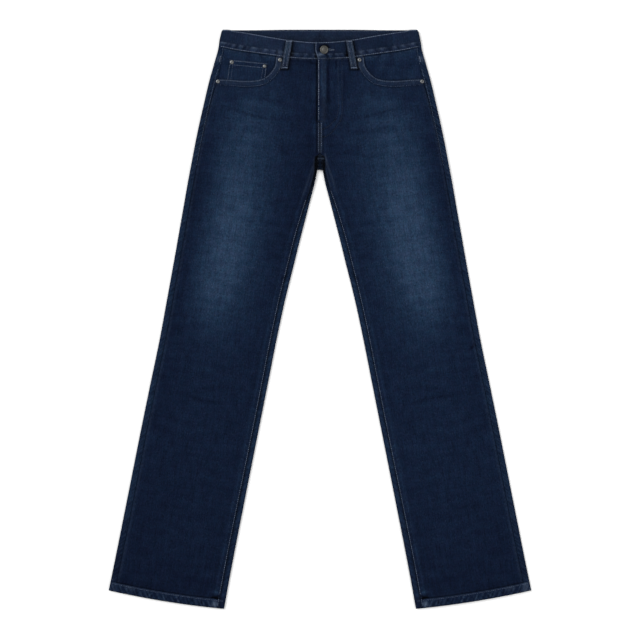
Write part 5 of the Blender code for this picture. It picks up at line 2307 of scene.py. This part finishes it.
@dataclass
class CoinPocket(Panel):
    """The small patch pocket inside the right front pocket."""

    corners: Table = ((173.8, 56.4), (100.8, 63.7), (110.0, 132.0), (183.0, 126.0))
    wide: float = 73.0
    deep: float = 68.0
    wash: float = 0.22

    @property
    def node(self) -> str:
        """The CAD node that the pocket stands for. There is one on the garment."""
        return "coin_pocket"

    def place(self, u: Array, v: Array) -> tuple[Array, Array]:
        """Out and drop at a share across from the outer side and a share down.

        Args:
            u: Shares across.
            v: Shares down.

        Returns:
            Out and drop.
        """
        a, b, c, d = self.corners
        out = (a[0] + (b[0] - a[0]) * u) * (1 - v) + (d[0] + (c[0] - d[0]) * u) * v
        drop = (a[1] + (b[1] - a[1]) * u) * (1 - v) + (d[1] + (c[1] - d[1]) * u) * v
        return out, drop

    def relief(self, u: Array, v: Array) -> Relief:
        """What shows on the pocket, by its shares across and down.

        Args:
            u: Shares across.
            v: Shares down.

        Returns:
            The relief there.
        """
        made = Relief.flat(u)
        edge = np.minimum(u, 1 - u) * self.wide
        down = v * self.deep
        wave = ripple(u * self.wide + 0.8 * down, 7.5, 4.8)
        made.height += 0.22 * (1 - ramp(down, 9.8, 11.4)) + 0.12 * wave * bell(down - 5.5, 3)
        made.height -= 0.22 * bell(down - 1.9, 0.8) + 0.22 * bell(down - 9.2, 0.8)
        made.height -= 0.2 * bell(edge - 1.8, 0.8)
        made.rub += 0.16 * bell(down - 0.2, 1.1) + 0.08 * bell(edge - 0.3, 1.0)
        made.fade += 0.26 * wave * bell(down - 5, 3) + 0.10
        # Painted shade in the puckers' hollows, and darker along a line between the side rows
        made.shade += 0.30 * held(-wave) * bell(down - 5, 3) + 0.22 * bell(edge - 4.6, 1.4)
        return made

    def build(self) -> bpy.types.Object:
        """Weave the pocket.

        Returns:
            The shell.
        """
        u, v = np.meshgrid(spread(40, 0.6), spread(38, 0.6))
        out, drop = self.place(u, v)
        made = self.relief(u, v)
        height = COIN_TOP + made.height - rolled(u.shape, 0.4, ALL_RIMS[:3])
        return self.weave(out, drop, height, out, self.wash, made, TRIM_CLOTH, straight=True)

    def stitched(self) -> list[bpy.types.Object]:
        """Sew two rows along the top and two down each side.

        Returns:
            The stitches.
        """
        work = self.needlework()

        def row(u0: float, v0: float, u1: float, v1: float, thick: float = 1.0) -> None:
            """Sew one straight row between two places given as shares."""
            line = Line.through((self.place(u0, v0), self.place(u1, v1)))
            work.row(Side.RIGHT, line, level_at(COIN_TOP + 0.08), smooth=False, thick=thick)

        for v in (0.028, 0.136):
            row(0.03, v, 0.97, v)
        for u, thick in ((0.026, 1.0), (0.104, 0.6)):
            row(u, 0.15, u, 0.99, 0.7 * thick)
            row(1 - u, 0.15, 1 - u, 0.99, thick)
        return [work.finished()]


@dataclass
class BackPocket(Panel):
    """A plain patch pocket on the seat, on the face that lies down."""

    kind = "back_pocket"
    upper: Table = ((45, 134), (111, 127), (178, 120))
    sides: Table = ((49, 246), (111, 246), (172, 238))
    point: Table = ((62, 254), (112, 270), (160, 247))
    wide: float = 130.0

    def place(self, u: Array, v: Array) -> tuple[Array, Array]:
        """Out and drop at a share across and a share down, 0.85 being where the sides end.

        Args:
            u: Shares across.
            v: Shares down.

        Returns:
            Out and drop.
        """
        shares = (0.0, 0.5, 1.0)
        rows = [[np.interp(u, shares, [p[k] for p in level]) for k in (0, 1)]
                for level in (self.upper, self.sides, self.point)]
        first = held(v / 0.85)
        second = held((v - 0.85) / 0.15)
        return tuple(rows[0][k] + (rows[1][k] - rows[0][k]) * first
                     + (rows[2][k] - rows[1][k]) * second for k in (0, 1))

    def build(self) -> bpy.types.Object:
        """Weave the pocket.

        Returns:
            The shell.
        """
        shares = np.r_[0.85 * spread(48, 0.5), 0.85 + 0.15 * spread(10, 0.4)[1:]]
        u, v = np.meshgrid(spread(60, 0.5), shares)
        out, drop = self.place(u, v)
        made = Relief.flat(u)
        edge = np.minimum(u, 1 - u) * self.wide
        down = v * self.wide
        wave = ripple(u * self.wide + 0.7 * down, 9, 2.9)
        made.rub += 0.22 * bell(edge - 0.3, 1.2) + 0.24 * bell(down - 0.3, 1.3)
        made.rub += 0.12 * bell(down - 14, 1.6)
        made.rub += 0.12 * held(wave) * bell(down - 8, 5) + 0.2 * bell((1 - v) * 24, 1.6)
        # Painted shade in the puckers' hollows
        made.shade += 0.2 * held(-wave) * bell(down - 8, 5)
        made.height += 0.16 * held(wave) * bell(down - 8, 5)
        wash = 0.24 + 0.18 * bell(out - 112, 50) * bell(drop - 190, 60)
        height = made.height + rolled(u.shape, 0.4)
        return self.weave(out, drop, height, out, wash, made, looks=(0, 0, -1), straight=True)

    def stitched(self) -> list[bpy.types.Object]:
        """Sew two rows round the sides and the point, two along the top and two bartacks.

        Returns:
            The stitches.
        """
        work = self.needlework()
        level = level_at(0.12)
        for inset in (2.0, 8.0):
            u, low = inset / self.wide, 0.85 * (1 - inset / 165)
            spots = [(u, 0.01), (u, low), (0.10 + u, 0.99 - u), (0.5, 1 - inset / 118),
                     (0.90 - u, 0.99 - u), (1 - u, low), (1 - u, 0.01)]
            work.row(self.side, Line.through(self.place(*spot) for spot in spots), level, Up.BACK, False)
        for v in (0.015, 0.105):
            line = Line.through(self.place(u, v) for u in (0.02, 0.5, 0.98))
            work.row(self.side, line, level, Up.BACK, False)
        for u in (0.012, 0.94):
            line = Line.through(self.place(end, 0.012) for end in (u, u + 0.048))
            work.bartack(self.side, line, level, 1.8, Up.BACK)
        return [work.finished()]


@dataclass
class BeltLoop(Panel):
    """A belt loop: a folded strip with two rows of stitching, tacked at both ends."""

    name: str
    head: tuple[float, float]
    foot: tuple[float, float]
    up: Up = Up.FRONT
    wide: float = LOOP_WIDE
    thick: float = 1.2
    bow: float = 1.2
    long: float = 54.0
    row_out: float = 3.2
    tacks: Table = ((0.045, 1.9), (0.955, 1.4))

    @property
    def node(self) -> str:
        """The CAD node that the loop stands for."""
        return self.name

    def place(self, across: Array, down: Array) -> tuple[Array, Array]:
        """Out and drop at a distance across and a share down."""
        out = self.head[0] + (self.foot[0] - self.head[0]) * down + across
        return out, self.head[1] + (self.foot[1] - self.head[1]) * down

    def surface(self, across: Array, down: Array) -> Array:
        """Height of the loop's face.

        Args:
            across: Distances from the loop's middle.
            down: Shares down the loop.

        Returns:
            The height there.
        """
        out, drop = self.place(across, down)
        edge = self.wide / 2 - np.abs(across)
        ridge = 0.22 * bell(edge - 1.5, 1.0) - 0.22 * bell(edge - 3.0, 0.6) - 0.1 * bell(across, 1.2)
        if self.up is Up.BACK:
            return np.maximum(-ridge, 0) + 0.5 * (1 - ramp(edge, 0.0, 0.9))
        bow = self.bow * span(down, 0.10, 0.38, 0.62, 0.92)
        base = top(out, drop) + LAYER_GAP + 0.1 + self.thick
        tacked = 0.35 * sum(bell((down - at) * self.long, 1.6) for at, _ in self.tacks)
        return base + bow + ridge - 0.5 * (1 - ramp(edge, 0.0, 0.9)) - tacked

    def build(self) -> bpy.types.Object:
        """Weave the loop.

        Returns:
            The shell.
        """
        across = (spread(18, 0.6) - 0.5)[None, :] * self.wide
        down = spread(48, 0.5)[:, None]
        across, down = np.broadcast_arrays(across, down)
        out, drop = self.place(across, down)
        edge = self.wide / 2 - np.abs(across)
        made = Relief.flat(out)
        wave = ripple(drop + 0.8 * across, 6.5, 1.4 + self.head[0] / 40)
        made.rub += 0.12 * bell(edge - 1.0, 1.1) * (0.8 + 0.6 * wave)
        made.rub += 0.20 * bell(down * self.long, 1.4) + 0.10 * bell((1 - down) * self.long - 1.5, 1.6)
        made.fade -= 0.16 * ramp(down, 0.62, 0.8)
        made.fade += 0.22 * wave * bell(edge - 2.0, 2.0) + 0.10 * bell(across, 1.6)
        # Painted shade along the stitch rows, at the fold above the foot and along both edges
        made.shade += 0.30 * bell(edge - 3.4, 1.0) + 0.35 * bell((1 - down) * self.long - 6.8, 1.2)
        made.shade += 0.45 * bell(edge, 0.8)
        height = self.surface(across, down)
        # The right loop's wash is paler at the top and the left loop's at the bottom
        paler_at_top = self.side is Side.RIGHT
        wash = 0.34 + 0.24 * (0.5 - down) * (1 if paler_at_top else -1) + 0.1 * ripple(drop, 23, 3.0)
        return self.weave(out, drop, height, out, wash, made, self.thick, face=self.finishes.trim,
                          back=self.finishes.trim, looks=(0, 0, self.up.value), straight=True,
                          slot="denim_trim")

    def stitched(self) -> list[bpy.types.Object]:
        """Sew the two long rows and the bartacks.

        Returns:
            The stitches.
        """
        work = self.needlework(stitch=2.3, width=0.6)

        def height(out: Array, drop: Array) -> Array:
            """Height of the loop's face at a place.

            Args:
                out: Distances out of the points.
                drop: Drops of the points.

            Returns:
                The height there.
            """
            down = (drop - self.head[1]) / (self.foot[1] - self.head[1])
            across = out - (self.head[0] + (self.foot[0] - self.head[0]) * down)
            return self.surface(across, down)

        for across in (-self.row_out, self.row_out):
            line = Line.through(self.place(across, down) for down in (0.06, 0.94))
            work.row(self.side, line, height, self.up, False)
        for down, wide in self.tacks:
            line = Line.through(self.place(across, down) for across in (-5.2, 5.2))
            work.bartack(self.side, line, height, wide, self.up)
        return [work.finished()]


# Metal trim


@dataclass
class Turned:
    """A round metal piece turned from a profile of (radius, height, polish_and_shade) points."""

    name: str
    node: str
    profile: tuple[tuple[float, float, float], ...]
    finish: bpy.types.Material
    slot: str
    steps: int = 48
    slim: float = 0.9
    nudge: float = 0.0

    def build(self) -> bpy.types.Object:
        """Turn the piece on the axis of the CAD node that it stands for.

        Returns:
            The piece, closed and facing outwards.
        """
        low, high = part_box(self.node)
        centre = Vector(((low.x + high.x) / 2, (low.y + high.y) / 2, low.z))
        form = bmesh.new()
        shine = form.verts.layers.float.new("polish_and_shade")
        points = []
        for radius, height, polish_and_shade in self.profile:
            point = form.verts.new(Vector((self.slim * radius, 0, height)) * MM)
            point[shine] = polish_and_shade
            points.append(point)
        edges = [form.edges.new(pair) for pair in zip(points, points[1:])]
        bmesh.ops.spin(form, geom=points + edges, cent=(0, 0, 0), axis=(0, 0, 1), dvec=(0, 0, 0),
                       angle=2 * math.pi, steps=self.steps, use_merge=True, use_duplicate=False)
        bmesh.ops.remove_doubles(form, verts=form.verts[:], dist=0.000005)
        bmesh.ops.recalc_face_normals(form, faces=form.faces[:])
        bmesh.ops.translate(form, verts=form.verts[:], vec=centre + Vector((self.nudge * MM, 0, 0)))
        for face in form.faces:
            face.smooth = True
        piece = shaped(self.name, form, self.finish)
        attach(piece, "root")
        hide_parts(self.node)
        return piece


# The last value of each point is how bright the metal is painted: low at outer edges and in hollows and
# high on raised rings and domes, as painted shade and highlight with tarnish and rubbed metal
RIVET_PROFILE = (
    (0, 0, 0), (4.3, 0, 0.0), (4.35, 0.25, 0.05), (4.2, 0.55, 0.15), (3.7, 0.85, 0.45), (3.2, 0.98, 0.85),
    (2.7, 1.02, 0.9), (2.2, 1.06, 0.9), (1.9, 1.28, 0.9), (1.55, 1.42, 1.0), (1.3, 1.38, 0.5),
    (1.1, 1.2, 0.05), (0.5, 1.12, 0.0), (0, 1.1, 0.0),
)
COIN_RIVET_PROFILE = (
    (0, 0, 0), (4.3, 0, 0.0), (4.35, 0.25, 0.05), (4.2, 0.55, 0.1), (3.7, 0.85, 0.2), (3.2, 0.98, 0.3),
    (2.7, 1.02, 0.5), (2.3, 1.10, 1.0), (1.8, 1.28, 1.0), (1.2, 1.42, 1.0), (0.6, 1.5, 1.0),
    (0, 1.52, 1.0),
)
BUTTON_PROFILE = (
    (0, 0, 0), (1.4, 0, 0), (1.4, 2.35, 0), (7.6, 2.45, 0.2), (8.25, 2.75, 0.4), (8.4, 3.3, 0.6),
    (8.15, 3.95, 0.8), (7.6, 4.3, 0.9), (7.0, 4.42, 0.9), (6.5, 4.36, 0.6), (6.1, 4.2, 0.35),
    (5.7, 4.16, 0.4), (5.0, 4.26, 0.6), (3.6, 4.5, 0.7), (2.0, 4.72, 0.75), (1.0, 4.79, 0.8), (0, 4.8, 0.8),
)


# Studio


@dataclass
class Studio:
    """Pale floor, soft light and a camera straight above the garment."""

    lens: float = 85.0
    sensor: float = 36.0
    view: float = 1.2288
    aim: tuple[float, float, float] = (0.0, -0.00095, 0.0062)
    floor_size: float = 12.0
    floor_tone: float = 0.96
    sky: float = 0.72
    key_power: float = 232.0
    fill_power: float = 25.0

    def build(self) -> None:
        """Set the floor, the lights and the camera."""
        form = bmesh.new()
        bmesh.ops.create_grid(form, x_segments=4, y_segments=4, size=self.floor_size / 2)
        bmesh.ops.translate(form, verts=form.verts[:], vec=(0, 0, -0.0003))
        bench = Bench("floor_paper")
        place = bench.add("ShaderNodeTexCoord").outputs["Object"]
        tooth = bench.add("ShaderNodeTexNoise", {"Vector": place, "Scale": 300})
        light, dim = (3 * (tone * self.floor_tone,) for tone in (1.0, 0.985))
        colour = bench.mix(tooth.outputs[0], dim, light)
        bench.set(Base_Color=colour, Roughness=0.9, Specular_IOR_Level=0.1)
        shaped("floor", form, bench.material)

        world = bpy.data.worlds.new("studio")
        world.use_nodes = True
        backdrop = world.node_tree.nodes["Background"]
        backdrop.inputs["Color"].default_value = (1.0, 1.0, 1.0, 1)
        backdrop.inputs["Strength"].default_value = self.sky
        bpy.context.scene.world = world
        bpy.context.scene.view_settings.view_transform = "Standard"
        self.softbox("key_light", (-3.6, 2.4, 4.56), 3.6, self.key_power)
        self.softbox("fill_light", (1.9, -0.6, 2.2), 1.8, self.fill_power)

        lens = bpy.data.cameras.new("camera")
        lens.lens = self.lens
        lens.sensor_width = self.sensor
        lens.clip_end = 50
        camera = bpy.data.objects.new("camera", lens)
        camera.location = Vector(self.aim) + Vector((0, 0, self.view * self.lens / self.sensor))
        bpy.context.scene.collection.objects.link(camera)
        bpy.context.scene.camera = camera

    def softbox(self, name: str, spot: tuple[float, float, float], size: float, power: float) -> None:
        """Hang a square soft light that faces the garment's middle.

        Args:
            name: The light's name.
            spot: Where it hangs, in metres.
            size: Its side in metres.
            power: Its power in watts.
        """
        lamp = bpy.data.lights.new(name, "AREA")
        lamp.shape = "SQUARE"
        lamp.size = size
        lamp.energy = power
        hung = bpy.data.objects.new(name, lamp)
        hung.location = spot
        hung.rotation_euler = (-Vector(spot)).to_track_quat("-Z", "Y").to_euler()
        bpy.context.scene.collection.objects.link(hung)


# The whole garment


@dataclass
class Jeans:
    """The garment: every sub-assembly in the order of its sewing."""

    finishes: Finishes

    def build(self) -> None:
        """Build and sew each piece, and log its faces."""
        for side in Side:
            behind = f"back_{side.word}"
            for maker, flat, rest, area in (
                (FrontPanel, (0.33, 1.045), behind, 0.228),
                (BackPanel, (0.36, 1.02), "floor", 0.285),
                (Yoke, (0.225, 0.085), "floor", 0.0128),
                (Waistband, (0.42, 0.035), f"yoke_{side.word}", None),
                (Hem, (0.46, 0.0173), "floor", None),
                (FrontPocket, (0.145, 0.108), behind, 0.0128),
                (BackPocket, (0.133, 0.146), "floor", 0.0163),
            ):
                self.sew(maker(side, self.finishes))
        fly = Fly(self.finishes)
        shield, tape = fly.build()
        fly.stitched()
        self.declare(shield, [])
        self.declare(tape, [fly.teeth()])
        self.sew(CoinPocket(Side.RIGHT, self.finishes))
        self.loops()
        self.metal()

    def loops(self) -> None:
        """Build the five belt loops."""
        head, foot = (118.0, 1.0), (118.0, 56.0)
        for name, side, up, *ends in (
            ("front_left", Side.LEFT, Up.FRONT, *FRONT_LOOPS[Side.LEFT]),
            ("front_right", Side.RIGHT, Up.FRONT, *FRONT_LOOPS[Side.RIGHT]),
            ("back_left", Side.LEFT, Up.BACK, head, foot),
            ("back_centre", Side.LEFT, Up.BACK, (0.0, 1.0), (0.0, 56.0)),
            ("back_right", Side.RIGHT, Up.BACK, head, foot),
        ):
            self.sew(BeltLoop(side, self.finishes, f"belt_loop_{name}", *ends, up))

    def metal(self) -> None:
        """Turn the rivets and the button."""
        for name in ("pocket_left", "pocket_right", "side_left", "side_right", "coin_outer", "coin_inner"):
            node = f"rivet_{name}"
            nudge = -1.0 if name == "pocket_left" else 0.0
            profile = COIN_RIVET_PROFILE if name == "coin_inner" else RIVET_PROFILE
            Turned(f"{node}_head", node, profile, self.finishes.rivet, "rivet_metal", 32,
                   nudge=nudge).build()
            log.info("%s turned", node)
        Turned("button_turned", "button", BUTTON_PROFILE, self.finishes.button, "button_metal",
               slim=0.95).build()
        log.info("button turned")

    def sew(self, panel: Panel) -> None:
        """Args:
            panel: The piece.
        """
        self.declare(panel.build(), panel.stitched())

    def declare(self, piece: bpy.types.Object,
                sewn: list[bpy.types.Object]) -> None:
        """Log how many faces a piece of cloth has.

        Args:
            piece: The cloth.
            sewn: The stitches on it. Not used.
        """
        log.info("%s: %d faces", piece.name, len(piece.data.polygons))


def main() -> None:
    """Build the garment and the studio."""
    logging.basicConfig(level=logging.INFO, format="%(message)s")
    Jeans(Finishes()).build()
    Studio().build()


if __name__ == "__main__":
    main()
